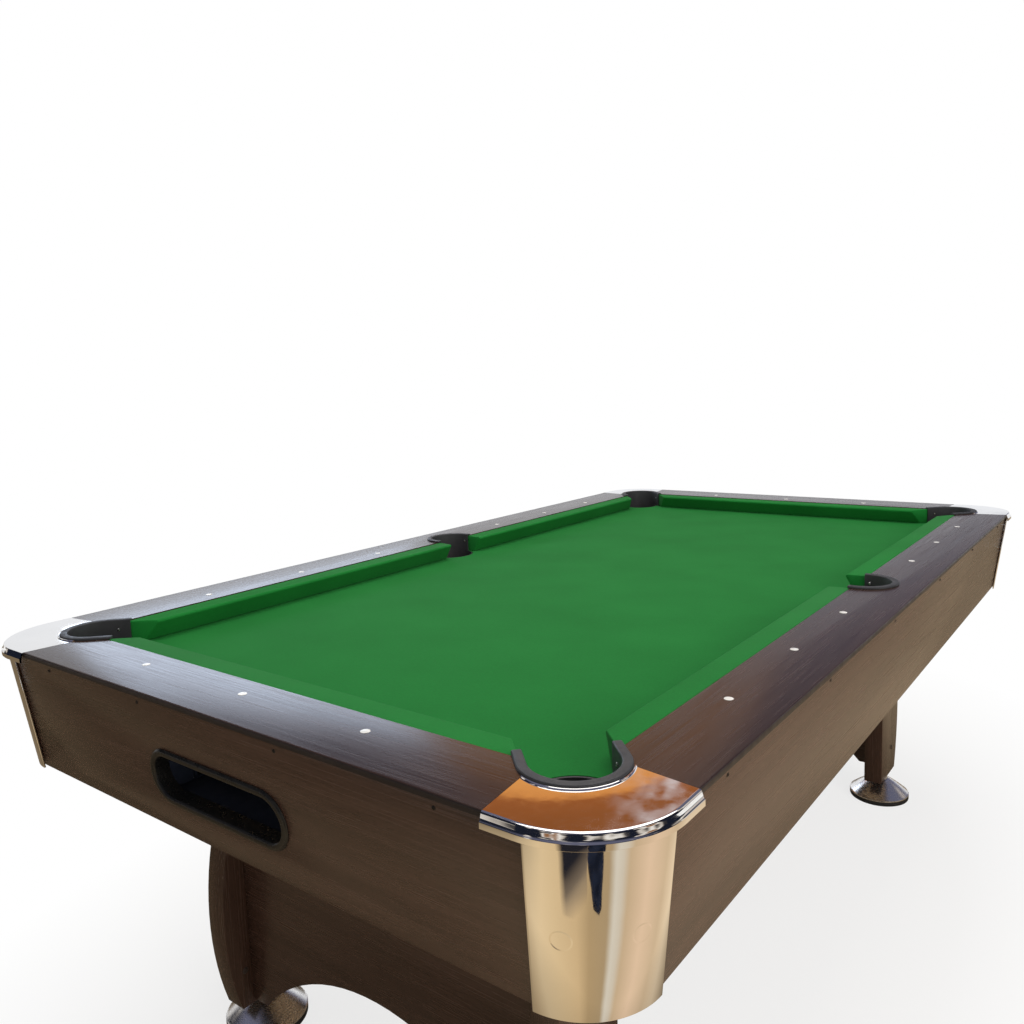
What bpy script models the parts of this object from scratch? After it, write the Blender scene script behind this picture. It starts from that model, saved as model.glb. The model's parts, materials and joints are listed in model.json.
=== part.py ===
# A seven-foot billiard table: laminated cabinet with leaning aprons, chromed corners,
# six drop pockets with a ball return, and two arched leg frames on screw feet.
# Metres, +Z up, floor at zero, length along Y, the ball box in the end at -Y.
import math

import bmesh
import bpy
from mathutils import Matrix

# Whole table
OVERALL_LENGTH = 2.3162
OVERALL_WIDTH = 1.3106
RAIL_TOP = 0.828

# Fits between pieces
GAP = 0.0003
POCKET_FIT = 0.0008
FACING_FIT = 0.0015
BORE_FIT = 0.0006
STEM_ROOM = 0.0015
BLOCK_FIT = 0.002
TRAY_FIT = 0.001
SKIRT_FIT = 0.0012

# Rails and cushions
RAIL_WIDTH = 0.119
RAIL_RISE = 0.042
RAIL_EDGE = 0.008
RAIL_ROUND = 0.003
CUSHION_DEPTH = 0.045
CUSHION_DROP = 0.0015
CUSHION_UNDERCUT = 0.020
NOSE_HEIGHT = 0.036
NOSE_ROUND = 0.004
NOSE_ABOVE = 85
NOSE_BELOW = -55
SIDE_FLARE = 0.05

# Bed
CLOTH_THICK = 0.0015
BED_THICK = 0.020
BEAM_DEPTH = 0.042
BEAM_WIDTH = 0.150
BEAM_INSET = 0.3481
BEAM_MIDDLE = 0.270

# Pockets
POCKET_RADIUS = 0.053
POCKET_BEYOND = 0.021
SIDE_BEYOND = 0.052
LINER_WALL = 0.0035
LINER_RIM = 0.013
LINER_LIFT = 0.004
LINER_ARM = 0.038
SIDE_ARM = 0.012
BOOT_STEP = 0.0003
BOOT_LIP = 0.003
BOOT_DROP = 0.004

# Cabinet
APRON_DROP = 0.218
APRON_LEAN = 0.027
APRON_THICK = 0.018
APRON_SETBACK = 0.006
BLOCK_NEAR = 0.070
BLOCK_REACH = 0.115
BLOCK_SHORT = 0.012

# Chromed corners
CAP_REACH = 0.160
CAP_FLARE = 0.13
CAP_RADIUS = 0.120
CAP_LIP = 0.017
CAP_BEAD = 0.001
LIP_FLARE = 0.0042
LIP_WAIST = 0.009
LIP_STEP = 0.0006
CAP_THICK = 0.003
CAP_PROUD = 0.002
SKIRT_THICK = 0.003
SKIRT_RADIUS_TOP = 0.116
SKIRT_RADIUS_BOTTOM = 0.100
SKIRT_REACH_TOP = 0.109
SKIRT_REACH_BOTTOM = 0.094
SKIRT_LAP = 0.008
SKIRT_TUCK = 0.010
SKIRT_HANG = 0.005

# Ball return
BOX_LENGTH = 0.288
BOX_HEIGHT = 0.066
BOX_DOWN = 0.130
BEZEL_RIM = 0.012
BEZEL_COLLAR = 0.004
BEZEL_THICK = 0.004
BEZEL_POKE = 0.003
TRAY_WALL = 0.003
TRAY_DEPTH = 0.128
TRAY_RISE = 0.082
TRAY_BELOW = 0.007
TRAY_MARGIN = 0.011
BALL_ROOM = 0.060
GUTTER_FALL = 0.010
GUTTER_INNER = 0.193
GUTTER_BOARD = 0.004
GUTTER_END = 0.086
FENCE_THICK = 0.009
SPOUT_INSET = 0.124
SPOUT_WIDTH = 0.072
SPOUT_WALL = 0.003
SPOUT_DEPTH = 0.030
SPOUT_FALL = 0.020
SPOUT_STEP = 0.002
SPOUT_ENTRY = 0.008
SPOUT_ABOVE = 0.002

# Leg frames
LEG_SPACING = 0.752
LEG_THICK = 0.048
LEG_BACK_INSET = 0.4131
LEG_BELLY_INSET = 0.2441
LEG_BELLY_HEIGHT = 0.253
LEG_BOW = 0.650
LEG_BOW_TOP = 0.400
LEG_FOOT = 0.065
LEG_ROUND = 0.002
ARCH_INSET = 0.2961
ARCH_THICK = 0.020
ARCH_TOP = 0.216
ARCH_RADIUS = 0.415
ARCH_FOOT = 0.076

# Screw feet
FOOT_RADIUS = 0.080
GLIDE_THICK = 0.012
GLIDE_ROUND = 0.002
DOME_EDGE = 0.004
DOME_SHOULDER = 0.010
DOME_CURVE = 1.25
HUB_RADIUS = 0.021
STEM_RADIUS = 0.008
STEM_LENGTH = 0.070
STEM_CHAMFER = 0.0015

# Roundness of arcs
STEPS_ROUND = 24
STEPS_CORNER = 12
STEPS_ARCH = 24
STEPS_DOME = 8
STEPS_SMALL = 4
WELD = 0.00001
SMOOTH_LIMIT = math.radians(30)

# Material colours, roughness and metallic
LAMINATE = ("laminate", (0.085, 0.050, 0.036), 0.38, 0.0)
BOARD = ("bare_board", (0.35, 0.24, 0.15), 0.80, 0.0)
FELT = ("felt", (0.012, 0.200, 0.032), 0.95, 0.0)
CHROME = ("chrome", (0.86, 0.84, 0.80), 0.06, 1.0)
RUBBER = ("rubber", (0.030, 0.032, 0.036), 0.55, 0.0)
PLASTIC = ("plastic", (0.012, 0.012, 0.014), 0.35, 0.0)

# Heights that follow from the sizes
BED_TOP = RAIL_TOP - RAIL_RISE
SLAB_TOP = BED_TOP - CLOTH_THICK - GAP
SLAB_BOTTOM = SLAB_TOP - BED_THICK
BEAM_TOP = SLAB_BOTTOM - GAP
BEAM_BOTTOM = BEAM_TOP - BEAM_DEPTH
APRON_TOP = RAIL_TOP - RAIL_EDGE - GAP
APRON_BOTTOM = RAIL_TOP - APRON_DROP
SKIRT_TOP = RAIL_TOP - SKIRT_TUCK
SKIRT_BOTTOM = APRON_BOTTOM - SKIRT_HANG
LEAN = APRON_LEAN / (APRON_TOP - APRON_BOTTOM)

# Places that follow from the sizes
HALF_LENGTH = OVERALL_LENGTH / 2
HALF_WIDTH = OVERALL_WIDTH / 2
NOSE = RAIL_WIDTH + CUSHION_DEPTH
POCKET_PLACE = NOSE - POCKET_BEYOND
SIDE_PLACE = NOSE - SIDE_BEYOND
BEAM_PLACE = HALF_LENGTH - BEAM_INSET
LEG_PLACE = LEG_SPACING / 2
WALL_RADIUS = POCKET_RADIUS + LINER_WALL
HOLE_RADIUS = WALL_RADIUS + POCKET_FIT

SIDES = ("near", "right", "far", "left")
CORNERS = ("near_left", "near_right", "far_right", "far_left")
CORNER_OUTWARD = math.radians(225)
SIDE_OUTWARD = math.radians(270)


def outer_face(height):
    """How far the apron's outer face stands in from the rail's outer edge at a height."""
    return APRON_SETBACK + LEAN * (APRON_TOP - height)


def inner_face(height):
    """How far the apron's inner face stands in from the rail's outer edge at a height."""
    return outer_face(height) + APRON_THICK


def skirt_reach(height):
    """How far a corner skirt reaches along the aprons, from the outer face of the next one."""
    share = (SKIRT_TOP - height) / (SKIRT_TOP - SKIRT_BOTTOM)
    return SKIRT_REACH_TOP + share * (SKIRT_REACH_BOTTOM - SKIRT_REACH_TOP)


def side_size(side):
    """Distance of a side from the middle of the table, and half its length."""
    if side % 2 == 0:
        return HALF_LENGTH, HALF_WIDTH
    return HALF_WIDTH, HALF_LENGTH


def side_frame(side):
    """X along the side, Y inwards from the rail's outer edge, Z up."""
    distance, _ = side_size(side)
    return Matrix.Rotation(side * math.pi / 2, 4, "Z") @ Matrix.Translation((0, -distance, 0))


def corner_frame(side):
    """X and Y inwards from the corner of the rail outline at the start of a side."""
    _, span = side_size(side)
    return side_frame(side) @ Matrix.Translation((-span, 0, 0))


def profile_frame(frame):
    """Turns a frame so that its XY plane is the cross-section and Z runs along X."""
    turn = Matrix(((0, 0, 1, 0), (1, 0, 0, 0), (0, 1, 0, 0), (0, 0, 0, 1)))
    return frame @ turn


def upright_frame(y):
    """XY plane standing upright across the table at a distance along it."""
    return Matrix.Translation((0, y, 0)) @ Matrix.Rotation(math.pi / 2, 4, "X")


def level_frame(frame, bottom, top):
    """The same frame lifted to the middle of a level layer."""
    return frame @ Matrix.Translation((0, 0, (bottom + top) / 2))


def arc(centre, radius, start, end, steps):
    """Points along an arc between two angles in degrees."""
    points = []
    for step in range(steps + 1):
        angle = math.radians(start + (end - start) * step / steps)
        points.append((centre[0] + radius * math.cos(angle), centre[1] + radius * math.sin(angle)))
    return points


def stadium(length, height):
    """An outline with straight long sides and fully rounded ends."""
    radius = height / 2
    middle = length / 2 - radius
    steps = STEPS_CORNER + STEPS_SMALL
    return arc((middle, 0), radius, -90, 90, steps) + arc((-middle, 0), radius, 90, 270, steps)


def horseshoe(radius, arm):
    """A half round opening to the outside, with straight arms towards the table."""
    return [(-arm, -radius)] + arc((0, 0), radius, -90, 90, STEPS_ROUND // 2) + [(-arm, radius)]


def make_material(look):
    """One Principled material for each look, made once."""
    name, colour, roughness, metallic = look
    if name in bpy.data.materials:
        return bpy.data.materials[name]
    material = bpy.data.materials.new(name)
    material.use_nodes = True
    shader = material.node_tree.nodes["Principled BSDF"]
    shader.inputs["Base Color"].default_value = (*colour, 1)
    shader.inputs["Roughness"].default_value = roughness
    shader.inputs["Metallic"].default_value = metallic
    return material


def place(name, mesh, frame):
    """Puts a mesh in the scene under a name, at a frame."""
    piece = bpy.data.objects.new(name, mesh)
    piece.matrix_world = frame
    bpy.context.scene.collection.objects.link(piece)
    return piece


def solid(name, points, thickness, frame):
    """A closed outline in the frame's XY plane, thickened evenly to both sides."""
    curve = bpy.data.curves.new(name, "CURVE")
    curve.dimensions = "2D"
    curve.fill_mode = "BOTH"
    curve.extrude = thickness / 2
    spline = curve.splines.new("POLY")
    spline.points.add(len(points) - 1)
    for point, (x, y) in zip(spline.points, points):
        point.co = (x, y, 0, 1)
    spline.use_cyclic_u = True
    outline = place(name, curve, Matrix.Identity(4))
    depsgraph = bpy.context.evaluated_depsgraph_get()
    mesh = bpy.data.meshes.new_from_object(outline.evaluated_get(depsgraph))
    bpy.data.objects.remove(outline)
    bpy.data.curves.remove(curve)
    shape = bmesh.new()
    shape.from_mesh(mesh)
    bmesh.ops.remove_doubles(shape, verts=shape.verts, dist=WELD)
    bmesh.ops.recalc_face_normals(shape, faces=shape.faces)
    shape.to_mesh(mesh)
    shape.free()
    return place(name, mesh, frame)


def turned(name, profile, frame):
    """A profile of radius and height pairs, from top to bottom, turned about Z."""
    mesh = bpy.data.meshes.new(name)
    edges = [(index, index + 1) for index in range(len(profile) - 1)]
    mesh.from_pydata([(radius, 0, height) for radius, height in profile], edges, [])
    piece = place(name, mesh, frame)
    screw = piece.modifiers.new("turn", "SCREW")
    screw.steps = STEPS_ROUND
    screw.render_steps = STEPS_ROUND
    screw.use_merge_vertices = True
    screw.merge_threshold = WELD
    return piece


def mitre(piece, start, end):
    """Slopes both ends of a long piece, given the end's place at each profile point."""
    for vertex in piece.data.vertices:
        across, up, along = vertex.co
        vertex.co.z = end(across, up) if along > 0 else start(across, up)


def combine(piece, tool, operation):
    """Cuts a piece with a tool, or joins the tool to it."""
    modifier = piece.modifiers.new(tool.name, "BOOLEAN")
    modifier.operation = operation
    modifier.solver = "EXACT"
    modifier.object = tool


def tool(piece):
    """Marks an object as a tool that only shapes others."""
    bpy.context.scene.collection.objects.unlink(piece)
    TOOLS.objects.link(piece)
    piece.hide_render = True
    piece.display_type = "WIRE"
    return piece


def finish(piece, look, parent):
    """Gives a piece its material and its place in the table."""
    piece.data.materials.clear()
    piece.data.materials.append(make_material(look))
    piece.data.shade_smooth()
    piece.data.set_sharp_from_angle(angle=SMOOTH_LIMIT)
    bpy.context.scene.collection.objects.unlink(piece)
    PARTS.objects.link(piece)
    frame = piece.matrix_world.copy()
    piece.parent = parent
    piece.matrix_parent_inverse = parent.matrix_world.inverted()
    piece.matrix_world = frame
    return piece


def soften(piece, width):
    """Small rounded edges all round a plain board."""
    bevel = piece.modifiers.new("soften", "BEVEL")
    bevel.width = width
    bevel.segments = 2
    bevel.limit_method = "ANGLE"


def empty(name, location):
    """A bare axis that pieces are hung on."""
    axis = bpy.data.objects.new(name, None)
    axis.location = location
    PARTS.objects.link(axis)
    bpy.context.view_layer.update()
    return axis


for leftover in list(bpy.data.objects):
    bpy.data.objects.remove(leftover)
PARTS = bpy.data.collections.new("billiard_table")
TOOLS = bpy.data.collections.new("cutters")
bpy.context.scene.collection.children.link(PARTS)
bpy.context.scene.collection.children.link(TOOLS)
TABLE = empty("table", (0, 0, 0))

# Pocket cutters, one at each corner and one in the middle of each long side
CUT_DEPTH = 3 * RAIL_TOP
CUT_REACH = 2 * NOSE
corner_pockets = []
side_pockets = {}
bed_holes = []


def pocket_frame(frame, x, y, outward):
    """A frame at a pocket's centre with X pointing out of the table."""
    return frame @ Matrix.Translation((x, y, 0)) @ Matrix.Rotation(outward, 4, "Z")


for side, name in enumerate(CORNERS):
    centre = pocket_frame(corner_frame(side), POCKET_PLACE, POCKET_PLACE, CORNER_OUTWARD)
    cutter = solid("cut_pocket_" + name, horseshoe(HOLE_RADIUS, CUT_REACH), CUT_DEPTH, centre)
    corner_pockets.append((centre, tool(cutter)))
for side in (1, 3):
    centre = pocket_frame(side_frame(side), 0, SIDE_PLACE, SIDE_OUTWARD)
    cutter = solid("cut_pocket_" + SIDES[side], horseshoe(HOLE_RADIUS, CUT_REACH), CUT_DEPTH, centre)
    side_pockets[side] = (centre, tool(cutter))
for centre, cutter in corner_pockets + list(side_pockets.values()):
    round_hole = arc((0, 0), HOLE_RADIUS, 0, 360, STEPS_ROUND)[:-1]
    bed_holes.append(tool(solid(cutter.name + "_bed", round_hole, CUT_DEPTH, centre)))

# Bed panel and the cloth stretched over it, with the corners cut off for the corner blocks
half_x = HALF_WIDTH - inner_face(SLAB_BOTTOM) - GAP
half_y = HALF_LENGTH - inner_face(SLAB_BOTTOM) - GAP
corner_cut = BLOCK_REACH + BLOCK_FIT
bed_outline = []
for sign_x, sign_y, along_x in ((1, -1, 1), (1, 1, 0), (-1, 1, 1), (-1, -1, 0)):
    first = (sign_x * (half_x - corner_cut), sign_y * half_y)
    second = (sign_x * half_x, sign_y * (half_y - corner_cut))
    bed_outline += [first, second] if along_x else [second, first]
for name, bottom, top, look in (
    ("bed_panel", SLAB_BOTTOM, SLAB_TOP, BOARD),
    ("bed_cloth", BED_TOP - CLOTH_THICK, BED_TOP, FELT),
):
    sheet = solid(name, bed_outline, top - bottom, level_frame(Matrix.Identity(4), bottom, top))
    for hole in bed_holes:
        combine(sheet, hole, "DIFFERENCE")
    finish(sheet, look, TABLE)

# Top rails, notched round the pockets and sloped where the corner caps meet them
rail_seat = BED_TOP + GAP
rail_step = RAIL_TOP - RAIL_EDGE
rail_round = arc((RAIL_ROUND, RAIL_TOP - RAIL_ROUND), RAIL_ROUND, 180, 90, STEPS_SMALL)
rail_profile = [(0, rail_step)] + rail_round
rail_profile += [(RAIL_WIDTH, RAIL_TOP), (RAIL_WIDTH, rail_seat)]
rail_profile += [(inner_face(rail_seat) + GAP, rail_seat), (inner_face(APRON_TOP) + GAP, rail_step)]


def cap_line(inward):
    """Distance from the corner at which a rail ends and the cap begins."""
    return CAP_REACH + CAP_FLARE * inward


def rail_end(span):
    """End of a rail along the corner cap's edge."""
    return lambda inward, up: span - cap_line(inward) - GAP


def mirrored(place_of):
    """The same end at the other end of the piece."""
    return lambda inward, up: -place_of(inward, up)


for side, name in enumerate(SIDES):
    _, span = side_size(side)
    rail = solid("rail_" + name, rail_profile, 2 * span, profile_frame(side_frame(side)))
    mitre(rail, mirrored(rail_end(span)), rail_end(span))
    combine(rail, corner_pockets[side][1], "DIFFERENCE")
    combine(rail, corner_pockets[(side + 1) % len(SIDES)][1], "DIFFERENCE")
    if side in side_pockets:
        combine(rail, side_pockets[side][1], "DIFFERENCE")
    finish(rail, LAMINATE, TABLE)

# Cushions, with 45 degree ends at the corner pockets and nearly square ends at the side pockets
cushion_back = RAIL_WIDTH + GAP
cushion_seat = BED_TOP + GAP
nose_centre = (NOSE - NOSE_ROUND, BED_TOP + NOSE_HEIGHT)
cushion_profile = [(cushion_back, cushion_seat), (cushion_back, RAIL_TOP - CUSHION_DROP)]
cushion_profile += arc(nose_centre, NOSE_ROUND, NOSE_ABOVE, NOSE_BELOW, STEPS_SMALL + 2)
cushion_profile += [(NOSE - CUSHION_UNDERCUT, cushion_seat)]
mouth_half = WALL_RADIUS + FACING_FIT
corner_mouth = NOSE + mouth_half * math.sqrt(2)


def corner_end(span):
    """End of a cushion at a corner pocket, square to the pocket's mouth."""
    return lambda inward, up: span - corner_mouth + (NOSE - inward)


def side_end(inward, up):
    """End of a cushion at a side pocket, flared a little towards the nose."""
    return mouth_half + SIDE_FLARE * (inward - RAIL_WIDTH)


for side, name in enumerate(SIDES):
    _, span = side_size(side)
    frame = profile_frame(side_frame(side))
    far_end = corner_end(span)
    if side in side_pockets:
        halves = (SIDES[0], SIDES[2]) if side == 1 else (SIDES[2], SIDES[0])
        pieces = [
            ("cushion_" + name + "_" + halves[0], mirrored(far_end), mirrored(side_end)),
            ("cushion_" + name + "_" + halves[1], side_end, far_end),
        ]
    else:
        pieces = [("cushion_" + name, mirrored(far_end), far_end)]
    for label, start, end in pieces:
        cushion = solid(label, cushion_profile, span, frame)
        mitre(cushion, start, end)
        finish(cushion, FELT, TABLE)

# Pocket liners: a raised rim on the rail, a wall with arms, and a boot through the bed
rim_bottom = RAIL_TOP + GAP
rim_top = rim_bottom + LINER_LIFT
wall_bottom = BED_TOP + GAP
boot_top = (wall_bottom + RAIL_TOP) / 2
mouth_bottom = BED_TOP - BOOT_LIP
boot_bottom = SLAB_BOTTOM - BOOT_DROP
for index, (centre, cutter) in enumerate(corner_pockets + list(side_pockets.values())):
    label = cutter.name.replace("cut_pocket_", "liner_")
    arm = LINER_ARM if index < len(CORNERS) else SIDE_ARM
    rim_outline = horseshoe(POCKET_RADIUS + LINER_RIM, arm)
    liner = solid(label, rim_outline, rim_top - rim_bottom, level_frame(centre, rim_bottom, rim_top))
    wall_frame = level_frame(centre, wall_bottom, rim_top - LINER_LIFT / 2)
    wall_outline = horseshoe(WALL_RADIUS, arm - GAP)
    wall = solid(label + "_wall", wall_outline, rim_top - LINER_LIFT / 2 - wall_bottom, wall_frame)
    boot_outline = arc((0, 0), WALL_RADIUS - BOOT_STEP, 0, 360, STEPS_ROUND)[:-1]
    boot_frame = level_frame(centre, boot_bottom, boot_top)
    boot = solid(label + "_boot", boot_outline, boot_top - boot_bottom, boot_frame)
    throat_frame = level_frame(centre, mouth_bottom, CUT_DEPTH)
    throat_outline = horseshoe(POCKET_RADIUS, CUT_REACH)
    throat = solid(label + "_throat", throat_outline, CUT_DEPTH - mouth_bottom, throat_frame)
    bore_outline = arc((0, 0), POCKET_RADIUS - BOOT_STEP, 0, 360, STEPS_ROUND)[:-1]
    bore = solid(label + "_bore", bore_outline, CUT_DEPTH, centre)
    combine(liner, tool(wall), "UNION")
    combine(liner, tool(boot), "UNION")
    combine(liner, tool(throat), "DIFFERENCE")
    combine(liner, tool(bore), "DIFFERENCE")
    finish(liner, RUBBER, TABLE)

# Leaning aprons, each a plain board with its ends cut to the taper of the corner skirts
apron_profile = [
    (outer_face(APRON_TOP), APRON_TOP),
    (inner_face(APRON_TOP), APRON_TOP),
    (inner_face(APRON_BOTTOM), APRON_BOTTOM),
    (outer_face(APRON_BOTTOM), APRON_BOTTOM),
]
aprons = {}


def apron_end(span):
    """End of an apron, lapped by the corner skirt and leaning with the skirt's edge."""
    return lambda inward, up: span - outer_face(up) - skirt_reach(up) + SKIRT_LAP


for side, name in enumerate(SIDES):
    _, span = side_size(side)
    apron = solid("apron_" + name, apron_profile, 2 * span, profile_frame(side_frame(side)))
    mitre(apron, mirrored(apron_end(span)), apron_end(span))
    aprons[name] = finish(apron, LAMINATE, TABLE)

# Corner blocks that tie the aprons together, leaning with them
block_top = RAIL_TOP - CAP_THICK - GAP
block_bottom = APRON_BOTTOM + BLOCK_SHORT
block_outline = [(GAP, BLOCK_NEAR), (BLOCK_NEAR, GAP), (BLOCK_REACH, GAP), (GAP, BLOCK_REACH)]
for side, name in enumerate(CORNERS):
    frame = level_frame(corner_frame(side), block_bottom, block_top)
    block = solid("block_" + name, block_outline, block_top - block_bottom, frame)
    for vertex in block.data.vertices:
        lean = inner_face(block_top if vertex.co.z > 0 else block_bottom)
        vertex.co.x += lean
        vertex.co.y += lean
    finish(block, BOARD, TABLE)


def round_corner(inset, reach, radius):
    """A path round a corner, straight along both sides as far as it reaches past the arc."""
    middle = inset + radius
    trim = math.degrees(math.asin(max(middle - reach, 0) / radius))
    path = arc((middle, middle), radius, 270 - trim, 180 + trim, STEPS_CORNER)
    if reach > middle:
        path = [(reach, inset)] + path + [(inset, reach)]
    return path


# Chromed corner caps: a plate round the pocket with a lip that flares down to a flange
cap_deep = POCKET_PLACE - POCKET_RADIUS / 2
lip_levels = [
    (RAIL_TOP, CAP_PROUD - CAP_BEAD),
    (RAIL_TOP - CAP_BEAD, CAP_PROUD),
    (RAIL_TOP - LIP_WAIST, CAP_PROUD + LIP_FLARE - LIP_STEP),
    (RAIL_TOP - LIP_WAIST - LIP_STEP, CAP_PROUD + LIP_FLARE),
    (RAIL_TOP - CAP_LIP, CAP_PROUD + LIP_FLARE),
]
under_levels = [
    (RAIL_TOP - CAP_THICK, CAP_PROUD - CAP_THICK),
    (RAIL_TOP - LIP_WAIST, CAP_PROUD + LIP_FLARE - LIP_STEP - CAP_THICK),
    (RAIL_TOP - LIP_WAIST - LIP_STEP, CAP_PROUD + LIP_FLARE - CAP_THICK),
    (RAIL_TOP - 2 * CAP_LIP, CAP_PROUD + LIP_FLARE - CAP_THICK),
]


def corner_loft(name, levels, reach, inside, frame):
    """A solid through outlines that run round the corner, each standing proud by its own amount."""
    shape = bmesh.new()
    rings = []
    for height, proud in levels:
        path = round_corner(-proud, reach(-proud), CAP_RADIUS - CAP_PROUD + proud) + inside
        rings.append([shape.verts.new((x, y, height)) for x, y in path])
    for upper, lower in zip(rings, rings[1:]):
        for index in range(len(upper)):
            after = (index + 1) % len(upper)
            shape.faces.new((upper[index], upper[after], lower[after], lower[index]))
    shape.faces.new(reversed(rings[0]))
    shape.faces.new(rings[-1])
    bmesh.ops.recalc_face_normals(shape, faces=shape.faces)
    mesh = bpy.data.meshes.new(name)
    shape.to_mesh(mesh)
    shape.free()
    return place(name, mesh, frame)


def past_cap(inward):
    """Reach of the hollow under a cap, well beyond the cap's ends."""
    return CUT_REACH


cap_inside = [(cap_deep, cap_line(cap_deep)), (cap_line(cap_deep), cap_deep)]
for side, name in enumerate(CORNERS):
    corner = corner_frame(side)
    cap = corner_loft("cap_" + name, lip_levels, cap_line, cap_inside, corner)
    under = corner_loft("cut_under_cap_" + name, under_levels, past_cap, [(CUT_REACH, CUT_REACH)], corner)
    combine(cap, tool(under), "DIFFERENCE")
    combine(cap, corner_pockets[side][1], "DIFFERENCE")
    finish(cap, CHROME, TABLE)

# Chromed skirts: a thin tapering shell wrapped round each leaning corner, tucked up under the cap's lip
for side, name in enumerate(CORNERS):
    sheet = bmesh.new()
    rows = []
    for height, radius in ((SKIRT_TOP, SKIRT_RADIUS_TOP), (SKIRT_BOTTOM, SKIRT_RADIUS_BOTTOM)):
        inset = outer_face(height) - SKIRT_FIT - SKIRT_THICK
        path = round_corner(inset, outer_face(height) + skirt_reach(height), radius)
        rows.append([sheet.verts.new((x, y, height)) for x, y in path])
    upper, lower = rows
    for index in range(len(upper) - 1):
        sheet.faces.new((upper[index], upper[index + 1], lower[index + 1], lower[index]))
    mesh = bpy.data.meshes.new("skirt_" + name)
    sheet.to_mesh(mesh)
    sheet.free()
    skirt = place("skirt_" + name, mesh, corner_frame(side))
    shell = skirt.modifiers.new("shell", "SOLIDIFY")
    shell.thickness = SKIRT_THICK
    shell.use_even_offset = True
    finish(skirt, CHROME, TABLE)

# Ball box: an oval opening in the near apron with a bezel, and the tray behind it
box_height = RAIL_TOP - BOX_DOWN
slant = math.hypot(1, LEAN)
box_frame = side_frame(0) @ Matrix((
    (1, 0, 0, 0),
    (0, -LEAN / slant, -1 / slant, outer_face(box_height)),
    (0, 1 / slant, -LEAN / slant, box_height),
    (0, 0, 0, 1),
))
collar_length = BOX_LENGTH + 2 * BEZEL_COLLAR
collar_height = BOX_HEIGHT + 2 * BEZEL_COLLAR
cut_outline = stadium(collar_length + 2 * POCKET_FIT, collar_height + 2 * POCKET_FIT)
combine(aprons["near"], tool(solid("cut_ball_box", cut_outline, CUT_REACH, box_frame)), "DIFFERENCE")
rim_outline = stadium(BOX_LENGTH + 2 * BEZEL_RIM, BOX_HEIGHT + 2 * BEZEL_RIM)
bezel = solid("ball_bezel", rim_outline, BEZEL_THICK, level_frame(box_frame, GAP, GAP + BEZEL_THICK))
collar_back = -APRON_THICK - BEZEL_POKE
collar_front = BEZEL_THICK / 2
collar_frame = level_frame(box_frame, collar_back, collar_front)
collar_outline = stadium(collar_length, collar_height)
collar = solid("ball_bezel_collar", collar_outline, collar_front - collar_back, collar_frame)
combine(bezel, tool(collar), "UNION")
combine(bezel, tool(solid("cut_bezel", stadium(BOX_LENGTH, BOX_HEIGHT), CUT_REACH, box_frame)), "DIFFERENCE")
finish(bezel, PLASTIC, TABLE)

near_profile = profile_frame(side_frame(0))
tray_floor = box_height - BOX_HEIGHT / 2 - TRAY_BELOW
tray_bottom = tray_floor - TRAY_WALL
tray_top = tray_floor + TRAY_RISE
tray_back = inner_face(tray_bottom) + TRAY_DEPTH
tray_half = BOX_LENGTH / 2 + TRAY_MARGIN
tray_profile = [
    (inner_face(tray_bottom) + GAP, tray_bottom),
    (tray_back, tray_bottom),
    (tray_back, tray_top),
    (inner_face(tray_top) + GAP, tray_top),
]
tray = solid("ball_tray", tray_profile, 2 * (tray_half + TRAY_WALL), near_profile)


def rectangle(left, right, bottom, top):
    """A plain four-cornered outline."""
    return [(left, bottom), (right, bottom), (right, top), (left, top)]


tray_space = rectangle(0, tray_back - TRAY_WALL, tray_floor, RAIL_TOP)
combine(tray, tool(solid("cut_tray", tray_space, 2 * tray_half, near_profile)), "DIFFERENCE")

# Spouts across the near end, from the long gutters down into the tray
spout_near = SPOUT_INSET - SPOUT_WIDTH / 2
spout_far = SPOUT_INSET + SPOUT_WIDTH / 2
spout_outer = HALF_WIDTH - GUTTER_INNER - GAP
spout_inner = tray_half + TRAY_WALL - SPOUT_ENTRY
spout_drop = SPOUT_FALL * (spout_outer - spout_inner)
spout_floor = tray_floor + SPOUT_ABOVE + SPOUT_WALL + spout_drop
spout_rim = spout_floor + SPOUT_DEPTH
spout_bottom = spout_floor - SPOUT_WALL
spout_profile = [
    (spout_near, spout_bottom),
    (spout_far, spout_bottom),
    (spout_far, spout_rim),
    (spout_far - SPOUT_WALL, spout_rim),
    (spout_far - SPOUT_WALL, spout_floor),
    (spout_near + SPOUT_WALL, spout_floor),
    (spout_near + SPOUT_WALL, spout_rim),
    (spout_near, spout_rim),
]
for sign, name in ((-1, "left"), (1, "right")):
    spout_frame = near_profile @ Matrix.Translation((0, 0, sign * (spout_outer + spout_inner) / 2))
    spout = solid("spout_" + name, spout_profile, spout_outer - spout_inner, spout_frame)
    for vertex in spout.data.vertices:
        if vertex.co.z * sign < 0:
            vertex.co.y -= spout_drop
    finish(spout, PLASTIC, TABLE)
notch_floor = spout_bottom - spout_drop - TRAY_FIT
notch_outline = rectangle(spout_near - TRAY_FIT, spout_far + TRAY_FIT, notch_floor, RAIL_TOP)
combine(tray, tool(solid("cut_tray_notch", notch_outline, 4 * tray_half, near_profile)), "DIFFERENCE")
finish(tray, PLASTIC, TABLE)

# Long gutter floors under the pockets, falling towards the spouts, each with a fence on its inner side
gutter_near = GUTTER_END - HALF_LENGTH


def gutter_floor(y):
    """Height of the gutter's upper face along the table."""
    return spout_floor + SPOUT_STEP + GUTTER_FALL * (y - gutter_near)


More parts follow.
